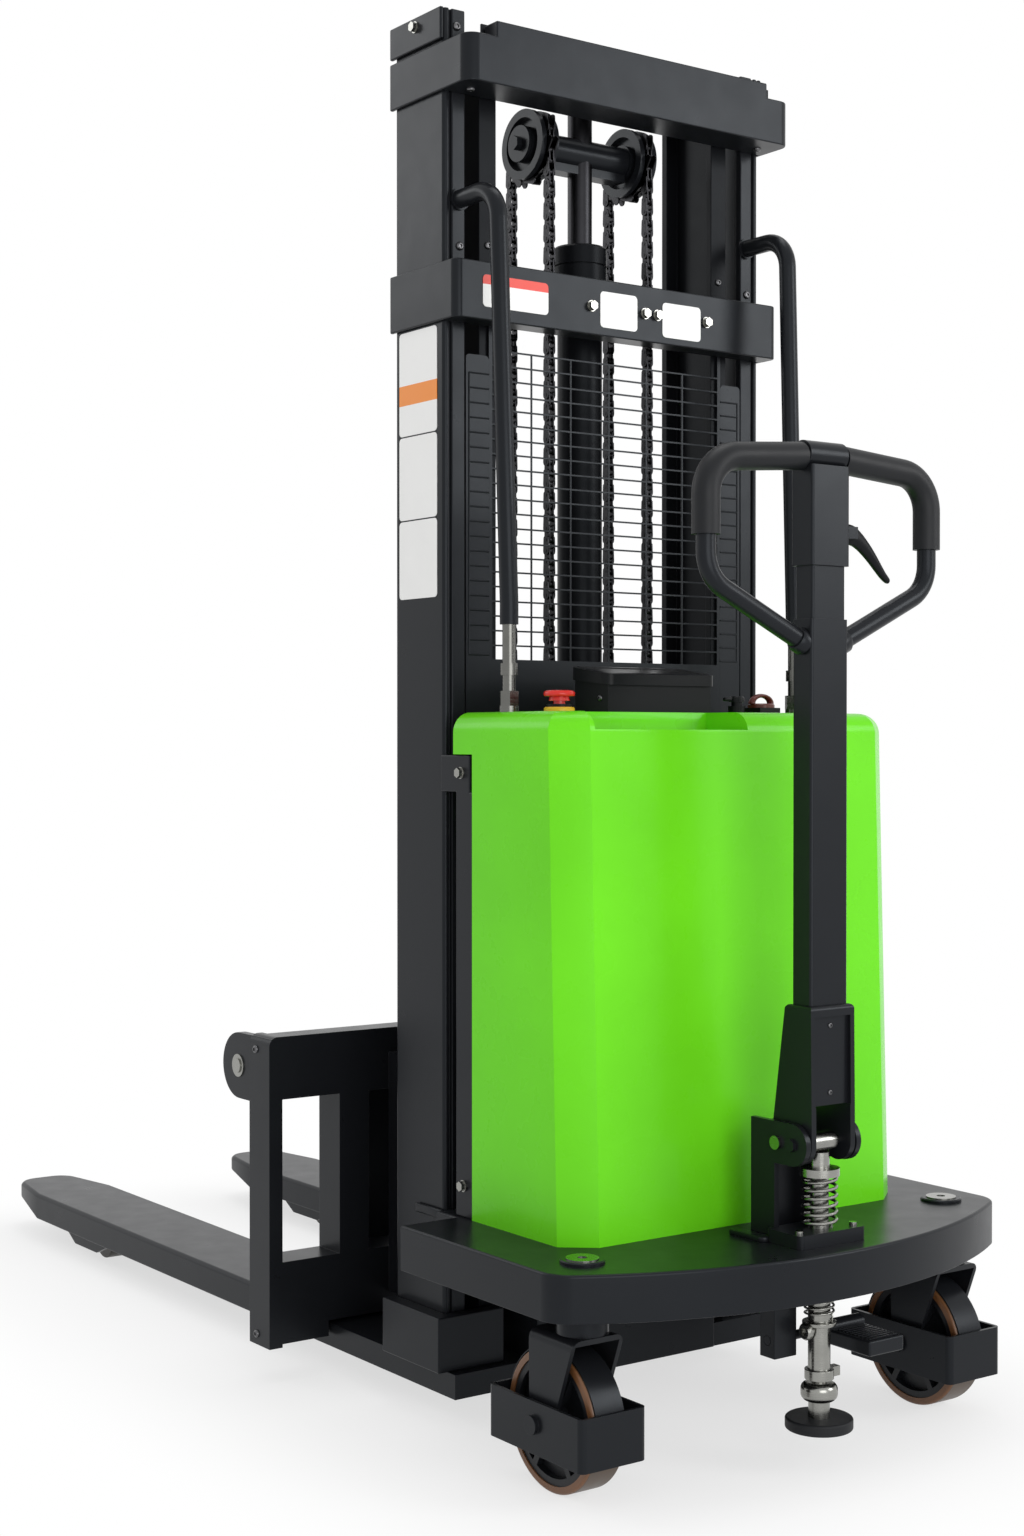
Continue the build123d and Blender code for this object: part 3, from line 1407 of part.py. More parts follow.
# Tiller arm: hollow lower length, neck, control head with a saddle for the handle, and the lever's ears
with BuildPart() as tiller_arm:
    block((-arm_half_width, arm_half_width), arm_y, (yoke_top, arm_top))
    neck_y = (tiller_y - neck_half_depth, tiller_y + neck_half_depth)
    block((-neck_half_width, neck_half_width), neck_y, (arm_top, neck_top))
    block((-head_half_width, head_half_width), head_y, (neck_top, head_top))
    fillet(tiller_arm.edges().filter_by(Axis.Z), arm_edge_radius)
    block(
        (-arm_half_width + arm_wall, arm_half_width - arm_wall),
        (arm_y[0] + arm_wall, arm_y[1] - arm_wall),
        (yoke_top - past, arm_top - arm_wall),
        Mode.SUBTRACT,
    )
    crosswise((-head_half_width, head_half_width), tiller_y, loop_top_z, grip_radius)
    ear_z = (lever_z - lever_ear_height / 2, lever_z + lever_ear_height / 2)
    ear_x = (head_half_width - past, lever_x + lever_ear_height / 2)
    for ear_y in (tiller_y - lever_pin_end, tiller_y + lever_pin_end - lever_ear):
        block(ear_x, (ear_y, ear_y + lever_ear), ear_z)
    bar((lever_x, tiller_y - lever_pin_end, lever_z), (0, 1, 0), lever_pin_radius, 2 * lever_pin_end)
finish(tiller_arm, "tiller_arm")

tiller_plane = Plane(origin=(0, tiller_y, 0), x_dir=(1, 0, 0), z_dir=(0, -1, 0))

# Handle loop: bent tube from the arm out to both sides and back to the head
with BuildPart() as handle_loop:
    with BuildLine(tiller_plane) as loop_path:
        FilletPolyline(
            (0, loop_low_z),
            (loop_half_width, loop_side_low_z),
            (loop_half_width, loop_side_top_z),
            (0, loop_top_z),
            radius=loop_bend,
        )
    sweep_round(loop_path.line, loop_radius)
    block((-arm_half_width, arm_half_width), arm_y, (yoke_top, arm_top), Mode.SUBTRACT)
    saddle_top = loop_top_z + grip_radius + past
    block((-head_half_width, head_half_width), head_y, (neck_top, saddle_top), Mode.SUBTRACT)
    mirror(about=Plane.YZ)
finish(handle_loop, "handle_loop")

with BuildPart() as handle_grips:
    grip_end_x = head_half_width + grip_end_gap
    loop_slope = (loop_side_top_z - loop_top_z) / loop_half_width
    with BuildLine(tiller_plane) as grip_path:
        FilletPolyline(
            (loop_half_width, grip_low_z),
            (loop_half_width, loop_side_top_z),
            (grip_end_x, loop_top_z + loop_slope * grip_end_x),
            radius=loop_bend,
        )
    sweep_round(grip_path.line, grip_radius, loop_radius + running)
    mirror(about=Plane.YZ)
finish(handle_grips, "handle_grips")

with BuildPart() as control_lever:
    lever_plane = Plane(origin=(lever_x, tiller_y, lever_z), x_dir=(1, 0, 0), z_dir=(0, -1, 0))
    lever_hub = ((0, 0), lever_hub_radius)
    lever_knee = ((lever_knee_reach, -lever_knee_drop), lever_knee_radius)
    lever_tip = ((lever_reach, -lever_drop), lever_tip_radius)
    for ends in ((lever_hub, lever_knee), (lever_knee, lever_tip)):
        with BuildSketch(lever_plane):
            for place, radius in ends:
                with Locations(place):
                    Circle(radius)
            make_hull()
        extrude(amount=lever_half_depth, both=True)
    pin_start = (lever_x, tiller_y - lever_pin_end, lever_z)
    bar(pin_start, (0, 1, 0), lever_pin_radius + running, 2 * lever_pin_end, Mode.SUBTRACT)
finish(control_lever, "control_lever")

# Plunger pressed by the tiller's roller, and the spring that lifts it
with BuildPart() as plunger:
    plunger_top = pivot_z - tiller_roller_radius - plunger_gap
    upright(0, tiller_y, (plunger_stem_bottom, plunger_flange_z), plunger_stem_radius)
    flange_z = (plunger_flange_z, plunger_flange_z + plunger_flange_height)
    upright(0, tiller_y, flange_z, plunger_flange_radius)
    upright(0, tiller_y, (flange_z[1], plunger_top), plunger_neck_radius)
finish(plunger, "plunger")

with BuildPart() as plunger_spring:
    with BuildLine() as plunger_coil:
        plunger_spring_z = (mount_top, plunger_flange_z)
        spring_path(
            0, tiller_y, plunger_spring_z, spring_radius, spring_turns, spring_wire_radius, spring_end_bend
        )
    sweep_round(plunger_coil.line, spring_wire_radius)
finish(plunger_spring, "plunger_spring")
print("plunger spring gap", least_gap(plunger_coil.line, spring_turns, spring_wire_radius))

# Floor lock: sleeve with ring and clamp, spring, stem with pad, and pedal
with BuildPart() as lock_sleeve:
    sleeve_flange_z = (plate_bottom - sleeve_flange_height, plate_bottom)
    clamp_z = (sleeve_bottom - clamp_height, sleeve_bottom)
    upright(0, tiller_y, (clamp_z[0], plate_bottom), sleeve_radius)
    upright(0, tiller_y, sleeve_flange_z, sleeve_flange_radius)
    sleeve_ring_range = (sleeve_ring_z, sleeve_ring_z + sleeve_ring_height)
    upright(0, tiller_y, sleeve_ring_range, sleeve_ring_radius)
    upright(0, tiller_y, clamp_z, clamp_radius)
    ear_y_range = (tiller_y - clamp_ear_depth / 2, tiller_y + clamp_ear_depth / 2)
    block((0, clamp_radius + clamp_ear), ear_y_range, clamp_z)
    upright(0, tiller_y, (clamp_z[0], plate_bottom), lock_stem_radius + running, Mode.SUBTRACT)
finish(lock_sleeve, "lock_sleeve")

with BuildPart() as lock_spring:
    with BuildLine() as lock_coil:
        lock_spring_z = (sleeve_ring_range[1], sleeve_flange_z[0])
        spring_path(
            0, tiller_y, lock_spring_z, lock_spring_radius, lock_spring_turns,
            lock_spring_wire_radius, lock_spring_end_bend,
        )
    sweep_round(lock_coil.line, lock_spring_wire_radius)
finish(lock_spring, "lock_spring")
print("lock spring gap", least_gap(lock_coil.line, lock_spring_turns, lock_spring_wire_radius))

with BuildPart() as lock_stem:
    upright(0, tiller_y, (bulge_bottom, bulge_bottom + bulge_height), bulge_radius)
    fillet(lock_stem.edges().filter_by(GeomType.CIRCLE), bulge_edge)
    upright(0, tiller_y, (pad_top, lock_stem_top), lock_stem_radius)
    upright(0, tiller_y, (pad_top, bulge_bottom), collar_radius)
finish(lock_stem, "lock_stem")

with BuildPart() as lock_pad:
    upright(0, tiller_y, (pad_bottom, pad_top), pad_radius)
    fillet(lock_pad.edges().filter_by(GeomType.CIRCLE), pad_edge)
finish(lock_pad, "lock_pad")

with BuildPart() as lock_pedal:
    pedal_x = (pedal_gap, pedal_gap + pedal_width)
    pedal_y = (lock_shaft_y - pedal_length, lock_shaft_y)
    block(pedal_x, pedal_y, (lock_shaft_z - pedal_wall, lock_shaft_z))
    fillet(lock_pedal.edges(), pedal_edge)
    crosswise(pedal_x, lock_shaft_y, lock_shaft_z, pedal_hub_radius)
    crosswise((-centre_block_half_width, pedal_x[1]), lock_shaft_y, lock_shaft_z, lock_shaft_radius)
finish(lock_pedal, "lock_pedal")


def castor_frame(x):
    """Swivelling castor fork with its kingpin, axle and the guard band round the wheel."""
    with BuildPart() as frame:
        side_profile(
            [
                (castor_y - castor_fork_rear, swivel_bottom),
                (castor_y + castor_fork_front, swivel_bottom),
                (castor_axle_y + castor_fork_foot, wheel_radius),
                (castor_axle_y - castor_fork_foot, wheel_radius),
            ],
            (x - castor_fork_outer, x + castor_fork_outer),
        )
        crown_edges = frame.faces().sort_by(Axis.Z)[-1].edges().filter_by(Axis.Y)
        fillet(crown_edges, castor_fork_bend)
        fork_x = (x - castor_fork_outer, x + castor_fork_outer)
        crosswise(fork_x, castor_axle_y, wheel_radius, castor_fork_foot)
        block(
            (x - castor_fork_inner, x + castor_fork_inner),
            (castor_y - 2 * wheel_radius, castor_y + 2 * wheel_radius),
            (0, swivel_bottom - castor_fork_crown),
            Mode.SUBTRACT,
        )
        upright(x, castor_y, (swivel_bottom, swivel_top), swivel_radius)
        upright(x, castor_y, (swivel_top, plate_under - rub_gap), kingpin_radius)
        with BuildSketch(Plane.XY.offset(guard_band_low)):
            band_half_length = wheel_radius + guard_tyre_gap + guard_band_wall
            with Locations((x, castor_axle_y)):
                RectangleRounded(2 * guard_band_outer, 2 * band_half_length, guard_band_corner)
                Rectangle(
                    2 * guard_band_inner, 2 * (wheel_radius + guard_tyre_gap), mode=Mode.SUBTRACT
                )
        extrude(amount=guard_band_height)
        axle_x = (x - guard_band_outer, x + guard_band_outer)
        crosswise(axle_x, castor_axle_y, wheel_radius, castor_axle_radius)
        hub_face = core_width / 2 + side_play
        for way in (-1, 1):
            axle_out = (way, 0, 0)
            spacer_start = (x + way * hub_face, castor_axle_y, wheel_radius)
            bar(spacer_start, axle_out, spacer_radius, guard_band_inner - hub_face)
            head_start = (x + way * guard_band_outer, castor_axle_y, wheel_radius)
            bar(head_start, axle_out, castor_head_radius, castor_head)
    return frame


def castor_wheel(x):
    """Ribbed wheel core."""
    core_x = (x - core_width / 2, x + core_width / 2)
    with BuildPart() as wheel:
        crosswise(core_x, castor_axle_y, wheel_radius, core_radius)
        for face_x, depth in ((core_x[0], core_recess), (core_x[1], -core_recess)):
            with BuildSketch(side_plane(face_x, castor_axle_y, wheel_radius)):
                Circle(core_radius - core_rim)
                Circle(core_hub_radius, mode=Mode.SUBTRACT)
                for k in range(core_spoke_pairs):
                    spoke_angle = 180 / core_spoke_pairs * k
                    Rectangle(2 * core_radius, core_spoke_width, rotation=spoke_angle, mode=Mode.SUBTRACT)
            extrude(amount=depth, mode=Mode.SUBTRACT)
        crosswise(core_x, castor_axle_y, wheel_radius, castor_axle_radius + running, Mode.SUBTRACT)
    return wheel


def castor_tread(x):
    """Tyre ring round the wheel core."""
    tread_x = (x - wheel_width / 2, x + wheel_width / 2)
    with BuildPart() as tread:
        crosswise(tread_x, castor_axle_y, wheel_radius, wheel_radius)
        fillet(tread.edges().filter_by(GeomType.CIRCLE), tread_edge)
        crosswise(tread_x, castor_axle_y, wheel_radius, core_radius, Mode.SUBTRACT)
    return tread


for side_name, side in (("left", -1), ("right", 1)):
    finish(castor_frame(side * castor_x), f"castor_frame_{side_name}")
    finish(castor_wheel(side * castor_x), f"castor_wheel_{side_name}")
    finish(castor_tread(side * castor_x), f"castor_tread_{side_name}")

# Fasteners: beam, cap and bracket bolts, mount screws, castor caps and the pivot pin
with BuildPart() as fasteners:
    mid_beam_z = (mid_beam_bottom + mid_beam_top) / 2
    for bolt_x in beam_bolt_places:
        bolt((bolt_x, mid_beam_rear_y, mid_beam_z), (0, -1, 0))
    for way in (-1, 1):
        outward = (way, 0, 0)
        bolt((way * strap_half_width, mast_y, column_top - cap_bolt_drop), outward)
        bracket_bolt_z = cover_notch_top - bracket_bolt_drop
        bolt((way * frame_outer, bracket_rear_y + bracket_foot_width / 2, bracket_bolt_z), outward)
        upright_bolt_z = plate_top + upright_bolt_rise
        bolt((way * frame_outer, (cover_notch_y + cover_front_y) / 2, upright_bolt_z), outward)
        cap_z = (plate_top, plate_top + kingpin_cap_height)
        upright(way * castor_x, castor_y, cap_z, kingpin_cap_radius)
        upright(way * castor_x, castor_y, cap_z, kingpin_cap_hole, Mode.SUBTRACT)
        screw_z = (mount_top, mount_top + screw_height)
        upright(way * mount_screw_x, tiller_y - mount_screw_y, screw_z, screw_radius)
        pin_head = (way * bracket_outer, pivot_y, pivot_z)
        bar(pin_head, outward, pivot_head_radius, pivot_head)
    crosswise((-bracket_outer, bracket_outer), pivot_y, pivot_z, pivot_radius)
finish(fasteners, "fasteners")
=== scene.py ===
import math

import bmesh
import bpy
from bpy.props import FloatProperty, FloatVectorProperty, PointerProperty
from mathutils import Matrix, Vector


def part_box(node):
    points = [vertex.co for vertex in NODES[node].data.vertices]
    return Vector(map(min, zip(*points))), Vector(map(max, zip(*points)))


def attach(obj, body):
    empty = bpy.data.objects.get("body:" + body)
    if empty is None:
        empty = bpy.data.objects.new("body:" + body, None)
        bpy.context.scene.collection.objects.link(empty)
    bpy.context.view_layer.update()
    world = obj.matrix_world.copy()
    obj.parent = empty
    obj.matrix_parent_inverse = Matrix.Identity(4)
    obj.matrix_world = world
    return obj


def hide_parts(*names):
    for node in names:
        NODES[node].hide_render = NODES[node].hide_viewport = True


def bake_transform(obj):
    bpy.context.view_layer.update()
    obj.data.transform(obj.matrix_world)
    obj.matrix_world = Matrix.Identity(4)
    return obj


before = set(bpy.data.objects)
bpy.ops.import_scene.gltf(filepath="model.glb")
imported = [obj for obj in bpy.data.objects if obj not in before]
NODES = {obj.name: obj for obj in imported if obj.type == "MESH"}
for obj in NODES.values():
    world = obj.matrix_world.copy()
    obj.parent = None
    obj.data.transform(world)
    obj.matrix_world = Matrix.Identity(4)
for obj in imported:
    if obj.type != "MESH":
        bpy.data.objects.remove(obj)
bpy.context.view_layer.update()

bl_info = {
    "name": "Semi-electric stacker",
    "version": (1, 0, 0),
    "blender": (4, 5, 0),
    "location": "View3D > Sidebar > Stacker",
    "description": "Finishes, chains, plates and small fittings of a semi-electric stacker",
    "category": "Object",
}

X, Y, Z = range(3)
ORIGIN = (0, 0, 0)
UP = (0, 0, 1)
DOWN = (0, 0, -1)
LEFTWARD = (-1, 0, 0)
RIGHTWARD = (1, 0, 0)
REARWARD = (0, -1, 0)
SIDES = {"left": -1, "right": 1}
CASTOR_PLACE = (0.317, -0.850)


# ---------- Settings ----------


def colour_prop(name, description, default):
    """A colour that the user can change."""
    return FloatVectorProperty(
        name=name, description=description, subtype="COLOR", size=3, min=0.0, max=1.0, default=default
    )


def length_prop(name, description, default):
    """A length in metres that the user can change."""
    return FloatProperty(
        name=name, description=description, subtype="DISTANCE", unit="LENGTH", min=0.0,
        precision=4, default=default,
    )


def power_prop(name, description, default):
    """The power of a lamp, in watts."""
    return FloatProperty(
        name=name, description=description, subtype="POWER", unit="POWER", min=0.0, default=default
    )


class FinishSettings(bpy.types.PropertyGroup):
    """Colours of the finishes and the rounding of the edges."""

    black_paint: colour_prop("Black paint", "Frame, mast and tiller", (0.0085, 0.0092, 0.0110))
    cover_paint: colour_prop("Cover paint", "Gloss paint of the cover", (0.138, 0.640, 0.010))
    zinc: colour_prop("Zinc", "Plated springs, sleeves and bolts", (0.30, 0.30, 0.28))
    screw: colour_prop("Screws", "Dark steel of the small screws", (0.12, 0.12, 0.125))
    plastic: colour_prop("Plastic", "Panel, grips and mouldings", (0.0080, 0.0088, 0.0105))
    chain: colour_prop("Chain", "Oiled steel of the lift chains", (0.022, 0.022, 0.024))
    tread: colour_prop("Tread", "Sides of the castors' tread", (0.150, 0.062, 0.022))
    tread_face: colour_prop("Tread face", "Tread on the floor", (0.060, 0.034, 0.016))
    stop_red: colour_prop("Stop red", "Head of the emergency stop", (0.640, 0.016, 0.010))
    ring_yellow: colour_prop("Ring yellow", "Ring round the stop", (0.720, 0.420, 0.012))
    isolator_red: colour_prop("Isolator red", "Bail of the isolator", (0.095, 0.014, 0.011))
    edge_round: length_prop("Edge rounding", "Radius of the painted edges", 0.0020)
    cover_round: length_prop("Cover rounding", "Radius of the edges of the cover", 0.0045)


class ChainSettings(bpy.types.PropertyGroup):
    """Sizes of the two lift chains."""

    pitch: length_prop("Pitch", "Distance from pin to pin", 0.0159)
    plate_height: length_prop("Plate height", "Width of a plate across the chain", 0.0125)
    plate_thickness: length_prop("Plate thickness", "Thickness of a link plate", 0.0019)
    inner_offset: length_prop("Inner plate offset", "From the middle of the chain", 0.0034)
    outer_offset: length_prop("Outer plate offset", "From the middle of the chain", 0.0054)
    roller_radius: length_prop("Roller radius", "Radius of a roller", 0.0049)
    pin_radius: length_prop("Pin radius", "Radius of a pin", 0.0025)
    pin_length: length_prop("Pin length", "Length of a pin", 0.0137)
    spacing: length_prop("Spacing", "Chain from the middle of the mast", 0.0900)
    wrap_radius: length_prop("Wrap radius", "Middle of the chain on the sheave", 0.0463)


class StageSettings(bpy.types.PropertyGroup):
    """Light, floor and background."""

    floor: colour_prop("Floor", "Colour of the floor", (0.90, 0.90, 0.90))
    ambient: FloatProperty(name="Ambient", description="Light all round", min=0.0, default=0.72)
    fill_power: power_prop("Fill", "Lamp by the camera", 50.0)
    key_power: power_prop("Key", "Lamp behind the operator", 75.0)
    side_power: power_prop("Side", "Lamp on the left", 22.0)
    top_power: power_prop("Top", "Lamp above", 36.0)
    floor_glow: FloatProperty(
        name="Floor white", description="Share of plain white in the floor as it is seen",
        subtype="FACTOR", min=0.0, max=1.0, default=0.66,
    )


# ---------- Shader maths ----------

SEEN_RAYS = ("Is Camera Ray", "Is Glossy Ray", "Is Transmission Ray")
# A Mix node's sockets for two colours, and for the colour between them
MIX_FIRST, MIX_SECOND, MIX_RESULT = 6, 7, 2


class Wire:
    """An output socket. Arithmetic with it adds Math nodes to its graph."""

    def __init__(self, graph, socket):
        self.graph = graph
        self.socket = socket

    def math(self, operation, first, second=0.0):
        return self.graph.node("ShaderNodeMath", {"operation": operation}, {0: first, 1: second})

    def __add__(self, other):
        return self.math("ADD", self, other)

    def __radd__(self, other):
        return self.math("ADD", other, self)

    def __sub__(self, other):
        return self.math("SUBTRACT", self, other)

    def __rsub__(self, other):
        return self.math("SUBTRACT", other, self)

    def __mul__(self, other):
        return self.math("MULTIPLY", self, other)

    def __rmul__(self, other):
        return self.math("MULTIPLY", other, self)

    def __gt__(self, other):
        return self.math("GREATER_THAN", self, other)

    def __lt__(self, other):
        return self.math("LESS_THAN", self, other)

    def __abs__(self):
        return self.math("ABSOLUTE", self)


class Graph:
    """The node tree of a material or of the world."""

    def __init__(self, owner):
        owner.use_nodes = True
        self.tree = owner.node_tree
        self.tree.nodes.clear()

    def node(self, kind, settings, inputs, output=0):
        """Add a node: its settings, then the values or wires of its sockets. Returns one output."""
        made = self.tree.nodes.new(kind)
        for name, value in settings.items():
            setattr(made, name, value)
        for name, value in inputs.items():
            socket = made.inputs[name]
            if isinstance(value, Wire):
                self.tree.links.new(value.socket, socket)
            elif socket.type == "RGBA":
                socket.default_value = (*value, 1.0)
            else:
                socket.default_value = value
        return Wire(self, made.outputs[output]) if made.outputs else None

    def outputs(self, kind, inputs, names):
        """Add a node. Returns the named outputs."""
        sockets = self.node(kind, {}, inputs).socket.node.outputs
        return [Wire(self, sockets[name]) for name in names]

    def place(self):
        """Where a point lies on the object, in metres."""
        return self.node("ShaderNodeTexCoord", {}, {}, "Object")

    def axes(self, place):
        """The three coordinates of a place."""
        return self.outputs("ShaderNodeSeparateXYZ", {"Vector": place}, "XYZ")

    def seen(self):
        """1 where the camera, a reflection or glass looks, and 0 where light falls."""
        camera, glossy, glass = self.outputs("ShaderNodeLightPath", {}, SEEN_RAYS)
        return camera + glossy + glass

    def vector_math(self, operation, inputs, output=0):
        """Maths on whole places."""
        return self.node("ShaderNodeVectorMath", {"operation": operation}, inputs, output)

    def stretch(self, place, scale):
        """A place scaled along each axis, for grain that runs one way."""
        return self.node("ShaderNodeMapping", {"vector_type": "POINT"}, {"Vector": place, "Scale": scale})

    def noise(self, place, scale, detail):
        """Cloudy noise from 0 to 1."""
        return self.node("ShaderNodeTexNoise", {}, {"Vector": place, "Scale": scale, "Detail": detail})

    def mix(self, factor, first, second):
        """A colour between two colours."""
        return self.node(
            "ShaderNodeMix", {"data_type": "RGBA", "clamp_factor": True},
            {0: factor, MIX_FIRST: first, MIX_SECOND: second}, MIX_RESULT,
        )

    def clouded(self, noise, colour, darkest, lightest):
        """A colour that noise makes darker and lighter."""
        return self.mix(noise, scaled(colour, darkest), scaled(colour, lightest))

    def bump(self, height, strength, distance):
        """A normal bent by a height."""
        return self.node("ShaderNodeBump", {}, {"Height": height, "Strength": strength, "Distance": distance})

    def surface(self, inputs):
        """Close the material with a Principled surface."""
        shader = self.node("ShaderNodeBsdfPrincipled", {}, inputs)
        self.node("ShaderNodeOutputMaterial", {}, {"Surface": shader})


def scaled(colour, factor):
    """A colour made lighter or darker."""
    return tuple(min(1.0, channel * factor) for channel in colour)


def vary(value, swing, noise):
    """A value that noise moves up and down by half a swing."""
    return value + swing * (noise - 0.5)


# ---------- Finishes ----------

PAINT_SHEEN = (0.86, 0.93, 1.0)
MERGE_DISTANCE = 0.00001
SHARP_ANGLE = math.radians(32)
SMOOTH_ANGLE = math.radians(35)
NODE_FLAT_ANGLE = math.radians(0.2)
COPY_FLAT_ANGLE = math.radians(0.3)
NORMAL_WEIGHT = 60


def new_finish(name):
    """A new material, its graph and where a point lies on the object."""
    material = bpy.data.materials.new(name)
    graph = Graph(material)
    return material, graph, graph.place()


def painted_steel(name, colour, roughness, coat, gloss):
    """Sprayed paint: a fine orange peel, faint clouds in the colour and uneven gloss."""
    material, graph, place = new_finish(name)
    clouds = graph.noise(place, scale=5.0, detail=4.0)
    peel = graph.noise(place, scale=520.0, detail=1.0)
    rubbed = graph.noise(place, scale=23.0, detail=5.0)
    graph.surface({
        "Base Color": graph.clouded(clouds, colour, darkest=0.86, lightest=1.14),
        "Roughness": vary(roughness, swing=0.12, noise=rubbed),
        "Specular IOR Level": gloss,
        "Specular Tint": PAINT_SHEEN,
        "Coat Weight": coat,
        "Coat Roughness": 0.06,
        "Normal": graph.bump(peel, strength=0.10, distance=0.0004),
    })
    return material


def turned_metal(name, colour, roughness, grain):
    """Bare or plated metal: fine tool lines across the grain and a cloudy tint."""
    material, graph, place = new_finish(name)
    lines = graph.noise(graph.stretch(place, grain), scale=1.0, detail=3.0)
    clouds = graph.noise(place, scale=38.0, detail=3.0)
    graph.surface({
        "Base Color": graph.clouded(clouds, colour, darkest=0.80, lightest=1.10),
        "Metallic": 1.0,
        "Roughness": vary(roughness, swing=0.22, noise=lines),
        "Normal": graph.bump(lines, strength=0.06, distance=0.0003),
    })
    return material


def moulded(name, colour, roughness, grain_scale, grain_depth, gloss):
    """Moulded plastic or rubber: a pebbled skin and a slightly uneven gloss."""
    material, graph, place = new_finish(name)
    pebbles = graph.node("ShaderNodeTexVoronoi", {"feature": "F1"}, {"Vector": place, "Scale": grain_scale})
    clouds = graph.noise(place, scale=30.0, detail=4.0)
    graph.surface({
        "Base Color": graph.clouded(clouds, colour, darkest=0.85, lightest=1.15),
        "Roughness": vary(roughness, swing=0.14, noise=clouds),
        "Specular IOR Level": gloss,
        "Normal": graph.bump(pebbles, strength=0.18, distance=grain_depth),
    })
    return material


def cast_tread(name, side_colour, face_colour, wheel_x, face_half_width):
    """Cast tread: amber at the sides, and dark where it rolls on the floor."""
    material, graph, place = new_finish(name)
    from_middle = abs(abs(graph.axes(place)[X]) - wheel_x)
    ragged = graph.noise(place, scale=140.0, detail=3.0)
    rolled = vary(face_half_width, swing=0.0016, noise=ragged) > from_middle
    scuffs = graph.noise(place, scale=60.0, detail=5.0)
    dark = graph.clouded(scuffs, face_colour, darkest=0.6, lightest=1.3)
    amber = graph.clouded(scuffs, side_colour, darkest=0.75, lightest=1.2)
    graph.surface({
        "Base Color": graph.mix(rolled, amber, dark),
        "Roughness": 0.30 + 0.20 * scuffs,
        "Normal": graph.bump(scuffs, strength=0.12, distance=0.0005),
    })
    return material


def blank_plate(name, colour, band_colour, band_bottom, band_top):
    """Plate with no print: a plain face, with a plain band between two heights."""
    material, graph, place = new_finish(name)
    up = graph.axes(place)[Z]
    band = (up > band_bottom) * (up < band_top)
    smudge = graph.noise(place, scale=26.0, detail=4.0)
    face = graph.clouded(smudge, colour, darkest=0.94, lightest=1.0)
    graph.surface({
        "Base Color": graph.mix(band, face, band_colour),
        "Roughness": 0.34 + 0.12 * smudge,
        "Normal": graph.bump(smudge, strength=0.04, distance=0.0003),
    })
    return material


def finish_nodes(names, material):
    """Give CAD nodes a finish."""
    for name in names:
        for holder in NODES[name].material_slots:
            holder.material = material


def finish_of(node):
    """The finish of a CAD node."""
    return NODES[node].material_slots[0].material


def add_bevel(piece, radius, segments):
    """A modifier that rounds every sharp edge of a piece."""
    bevel = piece.modifiers.new("Round edges", "BEVEL")
    bevel.width = radius
    bevel.segments = segments
    bevel.limit_method = "ANGLE"
    bevel.angle_limit = SHARP_ANGLE
    bevel.use_clamp_overlap = True


def round_edges(names, radius, segments):
    """Round the sharp edges of CAD nodes with live modifiers."""
    for name in names:
        modifiers = NODES[name].modifiers
        modifiers.new("Close seams", "WELD").merge_threshold = MERGE_DISTANCE
        flat = modifiers.new("Whole faces", "DECIMATE")
        flat.decimate_type = "DISSOLVE"
        flat.angle_limit = NODE_FLAT_ANGLE
        add_bevel(NODES[name], radius, segments)
        modifiers.new("Even shading", "WEIGHTED_NORMAL").weight = NORMAL_WEIGHT
        NODES[name].data.shade_smooth()


# ---------- Modelling by hand ----------

NEAR = 0.0001
MOSTLY = 0.9
PARALLEL = 0.999
SEAT_REACH = 0.05
COIL_STEPS = 24


def span(node):
    """The low corner, the high corner and the middle of a CAD node's box."""
    low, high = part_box(node)
    return low, high, (low + high) / 2


def middle_of(node):
    """The middle of a CAD node's box."""
    return span(node)[-1]


def clear_selection():
    """Leave edit mode and deselect every object."""
    if bpy.context.mode != "OBJECT":
        bpy.ops.object.mode_set(mode="OBJECT")
    bpy.ops.object.select_all(action="DESELECT")


def activate(piece):
    """Select a piece alone and make it the active object."""
    clear_selection()
    bpy.context.view_layer.objects.active = piece
    piece.select_set(True)


def begin(name):
    """Name the primitive that was just added, and put its place into its mesh."""
    piece = bpy.context.active_object
    piece.name = name
    bpy.ops.object.transform_apply(location=True, rotation=True, scale=True)
    return piece


def add_block(name, low, high):
    """A cube primitive that fills the box between two corners."""
    clear_selection()
    low = Vector(low)
    high = Vector(high)
    bpy.ops.mesh.primitive_cube_add(size=1.0, location=(low + high) / 2, scale=high - low)
    return begin(name)


def add_round(name, start, end, radius, sides):
    """A cylinder primitive from one point to another."""
    clear_selection()
    start = Vector(start)
    end = Vector(end)
    bpy.ops.mesh.primitive_cylinder_add(
        vertices=sides, radius=radius, depth=(end - start).length, location=(start + end) / 2,
        rotation=(end - start).to_track_quat("Z", "Y").to_euler(),
    )
    return begin(name)


def pick(piece, kind, test):
    """Open a piece in edit mode. Only the corners, edges or faces that pass a test are selected."""
    activate(piece)
    bpy.ops.object.mode_set(mode="EDIT")
    bpy.ops.mesh.select_mode(type=kind)
    bpy.ops.mesh.select_all(action="DESELECT")
    mesh = bmesh.from_edit_mesh(piece.data)
    parts = {"VERT": mesh.verts, "EDGE": mesh.edges, "FACE": mesh.faces}[kind]
    for part in parts:
        part.select_set(test(part))
    mesh.select_flush_mode()
    bmesh.update_edit_mesh(piece.data)


def pick_all(piece):
    """Open a piece in edit mode with all of it selected."""
    pick(piece, "VERT", lambda corner: True)


def runs_along(edge, axis):
    """True for an edge that is parallel to an axis."""
    way = edge.verts[1].co - edge.verts[0].co
    return abs(way.normalized()[axis]) > PARALLEL


